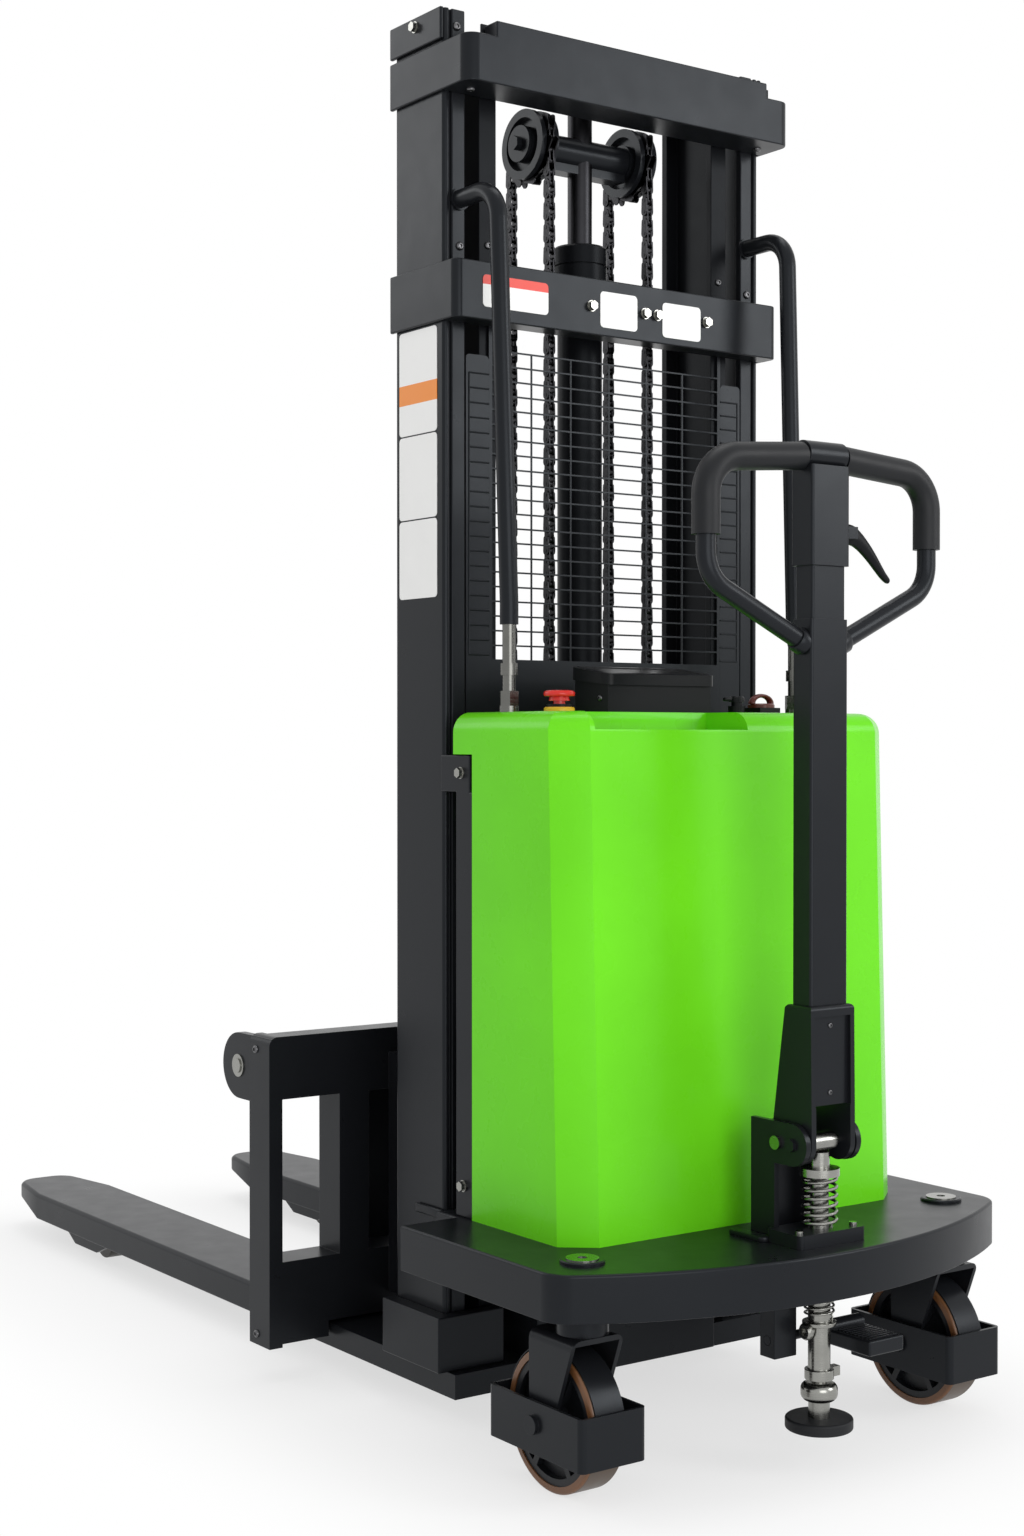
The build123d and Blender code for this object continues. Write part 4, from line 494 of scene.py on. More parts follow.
def facing(direction, least=PARALLEL):
    """A test for the faces that look one way."""
    return lambda face: face.normal.dot(Vector(direction)) > least


def is_end(face):
    """True for an end face of a piece that lies along x."""
    return abs(face.normal.x) > MOSTLY


def join(name, pieces):
    """Make several pieces one object."""
    activate(pieces[0])
    for piece in pieces[1:]:
        piece.select_set(True)
    if len(pieces) > 1:
        bpy.ops.object.join()
    pieces[0].name = name
    return pieces[0]


def copy_to(piece, name, offset):
    """A copy of a piece with its own mesh, moved by an offset."""
    activate(piece)
    bpy.ops.object.duplicate(linked=False)
    bpy.ops.transform.translate(value=offset)
    return begin(name)


def copy_of_node(name, node):
    """A piece with a merged copy of a CAD node's mesh."""
    piece = bpy.data.objects.new(name, NODES[node].data.copy())
    bpy.context.scene.collection.objects.link(piece)
    pick_all(piece)
    bpy.ops.mesh.remove_doubles(threshold=MERGE_DISTANCE)
    bpy.ops.mesh.dissolve_limited(angle_limit=COPY_FLAT_ANGLE)
    clear_selection()
    return piece


def apply_modifiers(piece):
    """Make every modifier of a piece part of its mesh."""
    activate(piece)
    for modifier in list(piece.modifiers):
        bpy.ops.object.modifier_apply(modifier=modifier.name)


def soften(piece, radius, segments):
    """Round every sharp edge of a piece."""
    add_bevel(piece, radius, segments)
    apply_modifiers(piece)


def bevel_picked(radius, segments, clamp=False):
    """Round the edges that are selected."""
    bpy.ops.mesh.bevel(
        offset=radius, offset_type="OFFSET", segments=segments, profile=0.5, clamp_overlap=clamp
    )


def round_corners(piece, axis, radius, segments):
    """Round the edges of a piece that run along an axis."""
    pick(piece, "EDGE", lambda edge: runs_along(edge, axis))
    bevel_picked(radius, segments)
    clear_selection()


def repeat(piece, offset, count):
    """Turn a piece into a row of copies of itself."""
    row = piece.modifiers.new("Row", "ARRAY")
    row.use_relative_offset = False
    row.use_constant_offset = True
    row.constant_offset_displace = offset
    row.count = count
    apply_modifiers(piece)


def lift(height):
    """Move what is selected up."""
    bpy.ops.transform.translate(value=(0, 0, height))


def extrude(step, scale, centre):
    """Extrude what is selected, and scale the new end about a point."""
    bpy.ops.mesh.extrude_region_move(TRANSFORM_OT_translate={"value": step})
    bpy.ops.transform.resize(value=scale, center_override=centre)


def seat_on(node, place, direction):
    """The point of a CAD node below a place, looked for against a direction."""
    way = Vector(direction)
    found, seat = NODES[node].ray_cast(Vector(place) + SEAT_REACH * way, -way)[:2]
    if not found:
        raise RuntimeError(f"{node} has no surface below {tuple(place)}")
    return seat


def turned(name, seat, direction, profile, sides):
    """A turned piece: rings of (height, radius) along a direction from its seat."""
    seat = Vector(seat)
    way = Vector(direction).normalized()
    foot, wide = profile[0]
    height, radius = profile[1]
    piece = add_round(name, seat + foot * way, seat + height * way, wide, sides)
    pick(piece, "FACE", facing(way))
    bpy.ops.transform.resize(value=[radius / wide] * 3, center_override=seat + height * way)
    for next_height, next_radius in profile[2:]:
        extrude((next_height - height) * way, [next_radius / radius] * 3, seat + next_height * way)
        height, radius = next_height, next_radius
    clear_selection()
    return piece


def coil(name, foot, height, radius, wire_radius, turns):
    """A coil spring that stands on its foot."""
    clear_selection()
    bpy.ops.mesh.primitive_circle_add(
        vertices=10, radius=wire_radius, location=(radius, 0, wire_radius),
        rotation=(math.pi / 2, 0, 0),
    )
    spring = begin(name)
    wind = spring.modifiers.new("Wind", "SCREW")
    wind.axis = "Z"
    wind.angle = 2 * math.pi
    wind.screw_offset = (height - 2 * wire_radius) / turns
    wind.iterations = turns
    wind.steps = COIL_STEPS
    wind.render_steps = COIL_STEPS
    wind.use_merge_vertices = False
    apply_modifiers(spring)
    pick_all(spring)
    bpy.ops.mesh.remove_doubles(threshold=MERGE_DISTANCE)
    bpy.ops.mesh.fill_holes(sides=0)
    bpy.ops.mesh.normals_make_consistent(inside=False)
    bpy.ops.transform.translate(value=foot)
    clear_selection()
    return spring


def dress(piece, material):
    """Smooth the shading of a piece, and give it its finish."""
    activate(piece)
    bpy.ops.object.shade_smooth_by_angle(angle=SMOOTH_ANGLE)
    piece.data.materials.clear()
    piece.data.materials.append(material)


# ---------- Operators: finishes of the CAD nodes ----------

PAINTED_EDGES = [
    "base_plate", "legs", "rear_cross_member", "foot_blocks", "columns", "mast_top_beam",
    "mast_mid_beam", "mesh_guard", "chain_anchor", "inner_rails", "inner_cross_members",
    "carriage_frame", "fork_left", "fork_right", "cover_frame", "tiller_bracket", "tiller_yoke",
    "tiller_arm", "lock_pedal", "castor_frame_left", "castor_frame_right",
]
PAINTED_ROUND = ["lift_cylinder", "crosshead", "sheaves", "grab_rails", "handle_loop"]
INNER_MAST = ["lift_cylinder", "inner_rails", "inner_cross_members"]
# Painted shade: the black paint of the inner mast is made darker by this factor, for the shade that falls
# inside the mast
INNER_MAST_PAINTED_SHADE = 0.6


class STACKER_OT_painted_frame(bpy.types.Operator):
    """Paint the frame, the mast, the carriage and the tiller black, with rounded edges; the inner mast gets a
    darker, duller copy of the paint as painted shade
    """

    bl_idname = "stacker.painted_frame"
    bl_label = "Painted frame"

    def execute(self, context):
        look = context.scene.stacker_finish
        outer = [node for node in PAINTED_EDGES + PAINTED_ROUND if node not in INNER_MAST]
        satin = painted_steel("black_satin_paint", look.black_paint, roughness=0.30, coat=0.0, gloss=0.17)
        finish_nodes(outer, satin)
        # Painted shade: a darker, less glossy copy of the black paint stands in for the shade inside the mast
        shaded_black = scaled(look.black_paint, INNER_MAST_PAINTED_SHADE)
        painted_shade_paint = painted_steel("mast_black_paint", shaded_black, roughness=0.34, coat=0.0, gloss=0.07)
        finish_nodes(INNER_MAST, painted_shade_paint)
        round_edges(PAINTED_EDGES, look.edge_round, segments=2)
        return {"FINISHED"}


COVER_FOOT = 0.02
COVER_FRONT = 0.05
COVER_EDGE_ANGLE = math.radians(20)


def outer_edge(edge, foot, front):
    """True for a sharp outer edge of the cover that isn't at its open foot or front."""
    if len(edge.link_faces) != 2 or not edge.is_convex:
        return False
    place = (edge.verts[0].co + edge.verts[1].co) / 2
    return edge.calc_face_angle() > COVER_EDGE_ANGLE and place.z > foot and place.y < front


class STACKER_OT_cover(bpy.types.Operator):
    """Round the edges of the power cover and paint it in gloss green"""

    bl_idname = "stacker.cover"
    bl_label = "Power cover"

    def execute(self, context):
        look = context.scene.stacker_finish
        low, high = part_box("cover")
        foot = low.z + COVER_FOOT
        front = high.y - COVER_FRONT
        shell = copy_of_node("cover_shell", "cover")
        pick(shell, "EDGE", lambda edge: outer_edge(edge, foot, front))
        bevel_picked(look.cover_round, segments=5, clamp=True)
        green = painted_steel("green_gloss_paint", look.cover_paint, roughness=0.28, coat=0.06, gloss=0.15)
        dress(shell, green)
        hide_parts("cover")
        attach(shell, "chassis")
        return {"FINISHED"}


ZINC_NODES = [
    "fasteners", "lock_sleeve", "lock_spring", "lock_stem", "plunger", "plunger_spring",
    "tiller_roller", "fork_shaft",
]
ROLLER_NODES = ["mast_rollers", "carriage_rollers_lower", "carriage_rollers_upper"]
FITTING_SHADE = 0.5
ROD_COLOUR = (0.030, 0.030, 0.033)
ROLLER_COLOUR = (0.34, 0.34, 0.35)
TANK_COLOUR = (0.40, 0.40, 0.41)
RING_GRAIN = (60.0, 60.0, 900.0)
ROD_GRAIN = (900.0, 900.0, 20.0)
ROLLER_GRAIN = (20.0, 900.0, 900.0)
TANK_GRAIN = (40.0, 40.0, 40.0)
METAL_ROUND = 0.0010


class STACKER_OT_bare_metal(bpy.types.Operator):
    """Give the springs, bolts, rods and rollers their metal"""

    bl_idname = "stacker.bare_metal"
    bl_label = "Bare metal"

    def execute(self, context):
        zinc = context.scene.stacker_finish.zinc
        # Finish, nodes, colour, roughness and grain
        metals = [
            ("zinc_plate", ZINC_NODES, zinc, 0.24, RING_GRAIN),
            ("fitting_zinc", ["rail_fittings"], scaled(zinc, FITTING_SHADE), 0.24, RING_GRAIN),
            ("oiled_rod", ["lift_rod"], ROD_COLOUR, 0.34, ROD_GRAIN),
            ("roller_steel", ROLLER_NODES, ROLLER_COLOUR, 0.36, ROLLER_GRAIN),
            ("tank_steel", ["oil_tank"], TANK_COLOUR, 0.42, TANK_GRAIN),
        ]
        for name, nodes, *recipe in metals:
            finish_nodes(nodes, turned_metal(name, *recipe))
        round_edges(["oil_tank", "lock_sleeve"], METAL_ROUND, segments=2)
        return {"FINISHED"}


PANEL_NODES = ["instrument_box", "switch_bases", "key", "control_lever"]
CORE_NODES = ["castor_wheel_left", "castor_wheel_right"]
TREAD_NODES = ["castor_tread_left", "castor_tread_right"]
TREAD_FACE_HALF = 0.0222
PANEL_SHADE = 0.7
CORE_SHADE = 1.3
NYLON_COLOUR = (0.060, 0.055, 0.048)
CASE_COLOUR = (0.055, 0.058, 0.064)
MOTOR_COLOUR = (0.05, 0.055, 0.06)
MOULDED_ROUND = 0.0018


class STACKER_OT_plastics(bpy.types.Operator):
    """Give the panel, grips, pads, wheels and power unit their plastic, rubber or paint"""

    bl_idname = "stacker.plastics"
    bl_label = "Plastic and rubber"

    def execute(self, context):
        look = context.scene.stacker_finish
        panel_colour = scaled(look.plastic, PANEL_SHADE)
        core_colour = scaled(look.plastic, CORE_SHADE)
        # Finish, nodes, colour, roughness, scale and depth of the grain, gloss
        plastics = [
            ("panel_plastic", PANEL_NODES, panel_colour, 0.34, 900.0, 0.0001, 0.12),
            ("grip_rubber", ["handle_grips"], look.plastic, 0.46, 1500.0, 0.0002, 0.22),
            ("pad_rubber", ["lock_pad"], look.plastic, 0.58, 700.0, 0.0003, 0.25),
            ("wheel_core", CORE_NODES, core_colour, 0.40, 600.0, 0.0002, 0.25),
            ("roller_nylon", ["load_rollers"], NYLON_COLOUR, 0.40, 500.0, 0.0002, 0.35),
            ("battery_case", ["battery"], CASE_COLOUR, 0.46, 500.0, 0.0003, 0.35),
        ]
        for name, nodes, *recipe in plastics:
            finish_nodes(nodes, moulded(name, *recipe))
        wheel_x = CASTOR_PLACE[X]
        tread = cast_tread("cast_tread", look.tread, look.tread_face, wheel_x, TREAD_FACE_HALF)
        finish_nodes(TREAD_NODES, tread)
        motor = painted_steel("motor_paint", MOTOR_COLOUR, roughness=0.42, coat=0.0, gloss=0.4)
        finish_nodes(["power_unit"], motor)
        round_edges(["instrument_box", "battery", "power_unit"], MOULDED_ROUND, segments=3)
        return {"FINISHED"}


# ---------- Operators: chains ----------

LINK_WAIST = 0.66
PIN_INSET = 0.35
CHAIN_GRAIN = (300.0, 300.0, 300.0)


def link_plate(name, size, offset, start, pitch):
    """A waisted link plate that stands on the chain's line, from one pin to the next."""
    half = size.plate_thickness / 2
    waist = start + pitch / 2
    plate = add_round(
        name, (offset - half, 0, start), (offset + half, 0, start), size.plate_height / 2, sides=12
    )
    pick(plate, "VERT", lambda corner: corner.co.z > start + NEAR)
    lift(pitch)
    pick(plate, "EDGE", lambda edge: runs_along(edge, Z) and edge.calc_length() > MOSTLY * pitch)
    bpy.ops.mesh.subdivide(number_cuts=1)
    pick(plate, "VERT", lambda corner: abs(corner.co.z - waist) < NEAR)
    bpy.ops.transform.resize(value=(1, LINK_WAIST, 1), center_override=(offset, 0, waist))
    clear_selection()
    return plate


def link_pair(size, pitch):
    """Two pitches of chain on the line x = 0, y = 0: two links with their rollers and pins."""
    pieces = []
    for sign in SIDES.values():
        pieces.append(link_plate("inner_plate", size, sign * size.inner_offset, 0.0, pitch))
        pieces.append(link_plate("outer_plate", size, sign * size.outer_offset, pitch, pitch))
    reach = size.inner_offset - size.plate_thickness / 2
    half = size.pin_length / 2
    for joint in (0.0, pitch):
        roller = add_round("roller", (-reach, 0, joint), (reach, 0, joint), size.roller_radius, sides=12)
        pin = add_round("pin", (-half, 0, joint), (half, 0, joint), size.pin_radius, sides=8)
        pick(pin, "FACE", is_end)
        bpy.ops.mesh.inset(thickness=PIN_INSET * size.pin_radius)
        pieces += [roller, pin]
    return join("link_pair", pieces)


def both_chains(name, pattern, spacing, line_y, foot):
    """Copies of a pattern on both sides of the mast, as one object, in place of the pattern."""
    chains = [copy_to(pattern, "one_chain", (sign * spacing, line_y, foot)) for sign in (1, -1)]
    bpy.data.objects.remove(pattern)
    return join(name, chains)


class STACKER_OT_chains(bpy.types.Operator):
    """Lay the two roller chains over the sheaves, from the anchor to the carriage"""

    bl_idname = "stacker.chains"
    bl_label = "Lift chains"

    def execute(self, context):
        size = context.scene.stacker_chain
        colour = context.scene.stacker_finish.chain
        steel = turned_metal("chain_steel", colour, roughness=0.34, grain=CHAIN_GRAIN)
        sheave = middle_of("sheaves")
        falls = {
            "chain_falls_rear": (sheave.y - size.wrap_radius, "chassis", "inner_mast"),
            "chain_falls_front": (sheave.y + size.wrap_radius, "carriage", "inner_mast"),
        }
        for node, (line_y, lower_body, upper_body) in falls.items():
            low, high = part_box(node)
            pairs = round((high.z - low.z) / size.pitch / 2)
            step = (high.z - low.z) / pairs
            fall = link_pair(size, step / 2)
            repeat(fall, (0, 0, step), pairs)
            chain = both_chains(node.replace("falls", "links"), fall, size.spacing, line_y, low.z)
            dress(chain, steel)
            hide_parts(node)
            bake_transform(chain)
        pairs = round(math.pi * size.wrap_radius / size.pitch / 2)
        step = math.pi / pairs
        wrap = link_pair(size, size.wrap_radius * step / 2)
        pick_all(wrap)
        bpy.ops.transform.translate(value=(0, sheave.y - size.wrap_radius, sheave.z))
        bpy.ops.mesh.spin(
            steps=pairs - 1, dupli=True, angle=-step * (pairs - 1),
            center=(0, sheave.y, sheave.z), axis=RIGHTWARD,
        )
        chain = both_chains("chain_links_wrap", wrap, size.spacing, 0, 0)
        dress(chain, steel)
        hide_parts("chain_wraps")
        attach(chain, "inner_mast")
        return {"FINISHED"}


# ---------- Operators: blank plates ----------

PLATE_WHITE = (0.82, 0.82, 0.81)
ORANGE_BAND = (0.780, 0.230, 0.010)
RED_BAND = (0.70, 0.040, 0.022)
PLATE_THICKNESS = 0.0008
PLATE_CORNER = 0.006
PLATE_REAR_MARGIN = 0.017
PLATE_FRONT_MARGIN = 0.012
COLUMN_BAND = (1.407, 1.435)
BEAM_BAND = 0.013
# Bottom and top of the plates on the column
SIDE_PLATES = {
    "column_plate_top": (1.364, 1.509),
    "column_plate_middle": (1.246, 1.362),
    "column_plate_bottom": (1.135, 1.244),
}
# Left, right, bottom and top of the plates on the beam
BEAM_PLATES = {
    "beam_plate_left": (-0.248, -0.137, 1.530, 1.574),
    "beam_plate_middle": (-0.045, 0.022, 1.524, 1.575),
    "beam_plate_right": (0.069, 0.141, 1.522, 1.572),
}


def stick_plate(name, low, high, thin_axis, band_colour, band):
    """A blank plate with rounded corners that fills a box, thin along one axis."""
    plate = add_block(name, low, high)
    round_corners(plate, thin_axis, PLATE_CORNER, segments=5)
    dress(plate, blank_plate(name, PLATE_WHITE, band_colour, *band))
    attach(plate, "chassis")


class STACKER_OT_blank_plates(bpy.types.Operator):
    """Stick the blank plates on the left column and on the middle beam"""

    bl_idname = "stacker.blank_plates"
    bl_label = "Blank plates"

    def execute(self, context):
        column_low, column_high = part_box("columns")
        for name, (bottom, top) in SIDE_PLATES.items():
            low = (column_low.x - PLATE_THICKNESS, column_low.y + PLATE_REAR_MARGIN, bottom)
            high = (column_low.x, column_high.y - PLATE_FRONT_MARGIN, top)
            band = COLUMN_BAND if name == "column_plate_top" else (top, top)
            stick_plate(name, low, high, X, ORANGE_BAND, band)
        beam_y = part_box("mast_mid_beam")[0].y
        for name, (left, right, bottom, top) in BEAM_PLATES.items():
            low = (left, beam_y - PLATE_THICKNESS, bottom)
            high = (right, beam_y, top)
            band = (top - BEAM_BAND, top) if name == "beam_plate_left" else (top, top)
            stick_plate(name, low, high, Y, RED_BAND, band)
        return {"FINISHED"}


# ---------- Operators: switches and lid on the cover, lift lever, spring of the plunger ----------

STOP_PROFILE = [
    (0.0, 0.0080), (0.0100, 0.0080), (0.0100, 0.0140), (0.0156, 0.0130), (0.0162, 0.0200),
    (0.0182, 0.0210), (0.0208, 0.0208), (0.0230, 0.0190), (0.0240, 0.0150), (0.0234, 0.0090),
]
RING_PROFILE = [(0.0, 0.0205), (0.0040, 0.0205), (0.0060, 0.0190), (0.0060, 0.0172)]
KNOB_PROFILE = [(0.0, 0.0075), (0.0060, 0.0075), (0.0060, 0.0110), (0.0120, 0.0105), (0.0140, 0.0088)]
KNOB_REACH = 0.0240
KNOB_LEVER = 0.0060
KNOB_RISE = 0.0066
KNOB_ROUND = 0.0020
ROTOR_PROFILE = [(0.0, 0.0190), (0.0040, 0.0190), (0.0060, 0.0172)]
BAIL_RADIUS = 0.0175
BAIL_WIRE = 0.0045
BAIL_DEPTH = 1.25


class STACKER_OT_switches(bpy.types.Operator):
    """Model the emergency stop's head and ring, the key's knob and the bail of the isolator"""

    bl_idname = "stacker.switches"
    bl_label = "Switches"

    def execute(self, context):
        look = context.scene.stacker_finish
        low, high, spot = span("estop_button")
        head = turned("stop_head", (spot.x, spot.y, low.z), UP, STOP_PROFILE, sides=40)
        red = moulded(
            "stop_plastic", look.stop_red, roughness=0.24, grain_scale=1200.0, grain_depth=0.0001, gloss=0.45
        )
        dress(head, red)
        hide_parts("estop_button")
        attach(head, "emergency_stop")
        seat = (spot.x, spot.y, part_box("switch_bases")[0].z)
        ring = turned("stop_ring", seat, UP, RING_PROFILE, sides=40)
        yellow = moulded(
            "ring_plastic", look.ring_yellow, roughness=0.34, grain_scale=1200.0, grain_depth=0.0001,
            gloss=0.40,
        )
        dress(ring, yellow)
        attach(ring, "chassis")

        low, high, spot = span("key")
        knob = turned("key_knob", (spot.x, spot.y, low.z), UP, KNOB_PROFILE, sides=32)
        lever_foot = low.z + KNOB_RISE
        lever = add_block(
            "key_lever", (spot.x - KNOB_REACH, spot.y - KNOB_LEVER / 2, lever_foot),
            (spot.x, spot.y + KNOB_LEVER / 2, lever_foot + KNOB_LEVER),
        )
        soften(lever, KNOB_ROUND, segments=3)
        knob = join("key_knob", [knob, lever])
        dress(knob, finish_of("key"))
        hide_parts("key")
        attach(knob, "ignition_key")

        low, high, spot = span("isolator_lever")
        rotor = turned("isolator_rotor", (spot.x, spot.y, low.z), UP, ROTOR_PROFILE, sides=40)
        foot = Vector((spot.x, spot.y, low.z + ROTOR_PROFILE[-1][0]))
        clear_selection()
        bpy.ops.mesh.primitive_torus_add(
            location=foot, rotation=(math.pi / 2, 0, 0), major_segments=40, minor_segments=12,
            major_radius=BAIL_RADIUS, minor_radius=BAIL_WIRE,
        )
        bail = begin("isolator_bail")
        pick_all(bail)
        bpy.ops.mesh.bisect(plane_co=foot, plane_no=UP, use_fill=True, clear_inner=True)
        pick_all(bail)
        rise = (high.z - foot.z) / (BAIL_RADIUS + BAIL_WIRE)
        bpy.ops.transform.resize(value=(1, BAIL_DEPTH, rise), center_override=foot)
        bail = join("isolator_bail", [bail, rotor])
        dark_red = moulded(
            "isolator_plastic", look.isolator_red, roughness=0.30, grain_scale=1000.0, grain_depth=0.0002,
            gloss=0.40,
        )
        dress(bail, dark_red)
        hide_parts("isolator_lever")
        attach(bail, "battery_isolator")
        return {"FINISHED"}


LID_SLOPE = 0.0120
LID_SKIRT = 0.0085
LID_WALL = 0.0045
LID_ROOF = 0.0003
LID_CORNER = 0.0140
LID_RIM = 0.0035
LID_RISE = 0.3 * LID_RIM
LID_BORDER = 0.0070
LID_DISH = 0.0014
LID_FRONT = 0.0030
BARREL_RADIUS = 0.0040
BARREL_HALF = 0.0450
LEAF_HALF = 0.0020


class STACKER_OT_box_lid(bpy.types.Operator):
    """Model the lid of the instrument box: sloping to the rear, dished, with a hinge barrel"""

    bl_idname = "stacker.box_lid"
    bl_label = "Lid of the instrument box"

    def execute(self, context):
        low, high, spot = span("box_lid")
        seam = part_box("instrument_box")[1].z
        rim = seam + LID_RIM
        lid = add_block("box_lid_shell", (low.x, low.y, seam), (high.x, high.y - LID_FRONT, high.z))
        pick(lid, "VERT", lambda corner: corner.co.y < spot.y and corner.co.z > rim)
        lift(-LID_SLOPE)
        pick(lid, "VERT", lambda corner: corner.co.y < spot.y and corner.co.z < rim)
        lift(-LID_SKIRT)
        round_corners(lid, Z, LID_CORNER, segments=6)
        pick(lid, "FACE", facing(UP, MOSTLY))
        bpy.ops.mesh.inset(thickness=LID_RIM)
        lift(LID_RISE)
        bpy.ops.mesh.inset(thickness=LID_BORDER)
        bpy.ops.mesh.inset(thickness=LID_DISH)
        lift(-LID_DISH)
        pick(lid, "FACE", facing(DOWN, MOSTLY))
        bpy.ops.mesh.inset(thickness=LID_WALL)
        extrude((0, 0, LID_ROOF), (1, 1, 0), (spot.x, spot.y, seam + LID_ROOF))
        barrel_left = spot.x - BARREL_HALF
        barrel_right = spot.x + BARREL_HALF
        barrel_y = high.y - BARREL_RADIUS
        barrel_z = low.z + BARREL_RADIUS
        barrel = add_round(
            "hinge_barrel", (barrel_left, barrel_y, barrel_z), (barrel_right, barrel_y, barrel_z),
            BARREL_RADIUS, sides=20,
        )
        leaf = add_block(
            "hinge_leaf", (barrel_left, barrel_y - LEAF_HALF, barrel_z),
            (barrel_right, barrel_y + LEAF_HALF, seam + LEAF_HALF),
        )
        lid = join("box_lid_shell", [lid, barrel, leaf])
        dress(lid, finish_of("instrument_box"))
        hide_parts("box_lid")
        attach(lid, "instrument_lid")
        return {"FINISHED"}


# Middle of each section of the blade from the pivot, along x and z, and the section's height
BLADE_SECTIONS = [
    (0.0080, -0.0010, 0.0300), (0.0200, -0.0075, 0.0285), (0.0360, -0.0205, 0.0260),
    (0.0510, -0.0365, 0.0215), (0.0630, -0.0500, 0.0160), (0.0710, -0.0570, 0.0115),
    (0.0760, -0.0585, 0.0085),
]
BLADE_PIVOT = 0.0100
BLADE_ROOT = 0.0060
BLADE_SMOOTHING = 2


class STACKER_OT_lever_blade(bpy.types.Operator):
    """Shape the blade of the lift lever, which curves down and thins towards its tip"""

    bl_idname = "stacker.lever_blade"
    bl_label = "Lift lever"

    def execute(self, context):
        low, high, middle = span("control_lever")
        pivot = Vector((low.x + BLADE_PIVOT, middle.y, high.z - BLADE_PIVOT))
        out, rise, height = BLADE_SECTIONS[0]
        spot = pivot + Vector((out, 0, rise))
        blade = add_block(
            "lift_lever_blade", (pivot.x - BLADE_ROOT, low.y, spot.z - height / 2),
            (spot.x, high.y, spot.z + height / 2),
        )
        pick(blade, "FACE", facing(RIGHTWARD))
        for out, rise, next_height in BLADE_SECTIONS[1:]:
            next_spot = pivot + Vector((out, 0, rise))
            share = next_height / height
            extrude(next_spot - spot, (1, (1 + share) / 2, share), next_spot)
            spot, height = next_spot, next_height
        smooth = blade.modifiers.new("Smooth", "SUBSURF")
        smooth.levels = BLADE_SMOOTHING
        smooth.render_levels = BLADE_SMOOTHING
        apply_modifiers(blade)
        dress(blade, finish_of("control_lever"))
        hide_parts("control_lever")
        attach(blade, "lift_lever")
        return {"FINISHED"}


SPRING_TURNS = 6
SPRING_WIRE = 0.0023


class STACKER_OT_plunger_coil(bpy.types.Operator):
    """Wind the spring below the tiller, which is squeezed as the plunger goes down"""

    bl_idname = "stacker.plunger_coil"
    bl_label = "Plunger spring"

    def execute(self, context):
        low, high, spot = span("plunger_spring")
        radius = (high.x - low.x) / 2 - SPRING_WIRE
        foot = (spot.x, spot.y, low.z)
        spring = coil("plunger_coil", foot, high.z - low.z, radius, SPRING_WIRE, SPRING_TURNS)
        dress(spring, finish_of("plunger_spring"))
        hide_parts("plunger_spring")
        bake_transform(spring)
        return {"FINISHED"}


# ---------- Operators: screws, guard strips and trim ----------

SCREW_PROFILE = [
    (-0.0004, 0.0060), (0.0014, 0.0060), (0.0027, 0.0051), (0.0033, 0.0036), (0.0033, 0.0026),
    (0.0015, 0.0024),
]
BOLT_PROFILE = [
    (-0.0150, 0.0060), (0.0050, 0.0060), (0.0050, 0.0105), (0.0105, 0.0110), (0.0130, 0.0090),
    (0.0130, 0.0050), (0.0090, 0.0045),
]
LOCK_BOLT_HEIGHT = 0.178
SCREW_GRAIN = (200.0, 200.0, 200.0)
# Name: the node that carries the screws, the body, the way they face, their size and places
SCREWS = {
    "column_screws": (
        "columns", "chassis", REARWARD, 1.0, [(-0.261, -0.498, 1.617), (0.264, -0.498, 1.612)],
    ),
    "cap_screws": (
        "columns", "chassis", REARWARD, 1.0, [(-0.266, -0.498, 1.917), (0.266, -0.498, 1.917)],
    ),
    "beam_screws": (
        "mast_top_beam", "chassis", DOWN, 1.0, [(-0.261, -0.525, 1.826), (0.261, -0.525, 1.826)],
    ),
    "rail_screws": (
        "inner_rails", "inner_mast", REARWARD, 0.9,
        [(-0.211, -0.494, 1.625), (0.211, -0.494, 1.625)],
    ),
    "carriage_screws_left": (
        "carriage_frame", "carriage", LEFTWARD, 1.0,
        [(-0.400, -0.172, 0.066), (-0.400, -0.170, 0.484)],
    ),
    "carriage_screws_right": (
        "carriage_frame", "carriage", RIGHTWARD, 1.0,
        [(0.400, -0.172, 0.066), (0.400, -0.170, 0.484)],
    ),
    "yoke_screws": (
        "tiller_yoke", "tiller", REARWARD, 0.6, [(0.0, -0.964, 0.572), (0.0, -0.964, 0.486)],
    ),
    "box_screw": ("instrument_box", "chassis", LEFTWARD, 0.7, [(-0.148, -0.668, 0.994)]),
}


class STACKER_OT_screws(bpy.types.Operator):
    """Set the domed screws into the machine, and the bolt into the floor lock's sleeve"""

    bl_idname = "stacker.screws"
    bl_label = "Screws"

    def execute(self, context):
        colour = context.scene.stacker_finish.screw
        steel = turned_metal("screw_steel", colour, roughness=0.34, grain=SCREW_GRAIN)
        context.view_layer.update()
        for name, (node, body, direction, size, places) in SCREWS.items():
            profile = [(height * size, radius * size) for height, radius in SCREW_PROFILE]
            pattern = turned("screw", ORIGIN, direction, profile, sides=14)
            heads = [copy_to(pattern, "head", seat_on(node, place, direction)) for place in places]
            bpy.data.objects.remove(pattern)
            group = join(name, heads)
            dress(group, steel)
            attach(group, body)
        sleeve_side = (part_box("lock_sleeve")[0].x, middle_of("lock_sleeve").y, LOCK_BOLT_HEIGHT)
        seat = seat_on("lock_sleeve", sleeve_side, LEFTWARD)
        bolt = turned("lock_bolt", seat, LEFTWARD, BOLT_PROFILE, sides=24)
        dress(bolt, finish_of("lock_sleeve"))
        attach(bolt, "chassis")
        return {"FINISHED"}


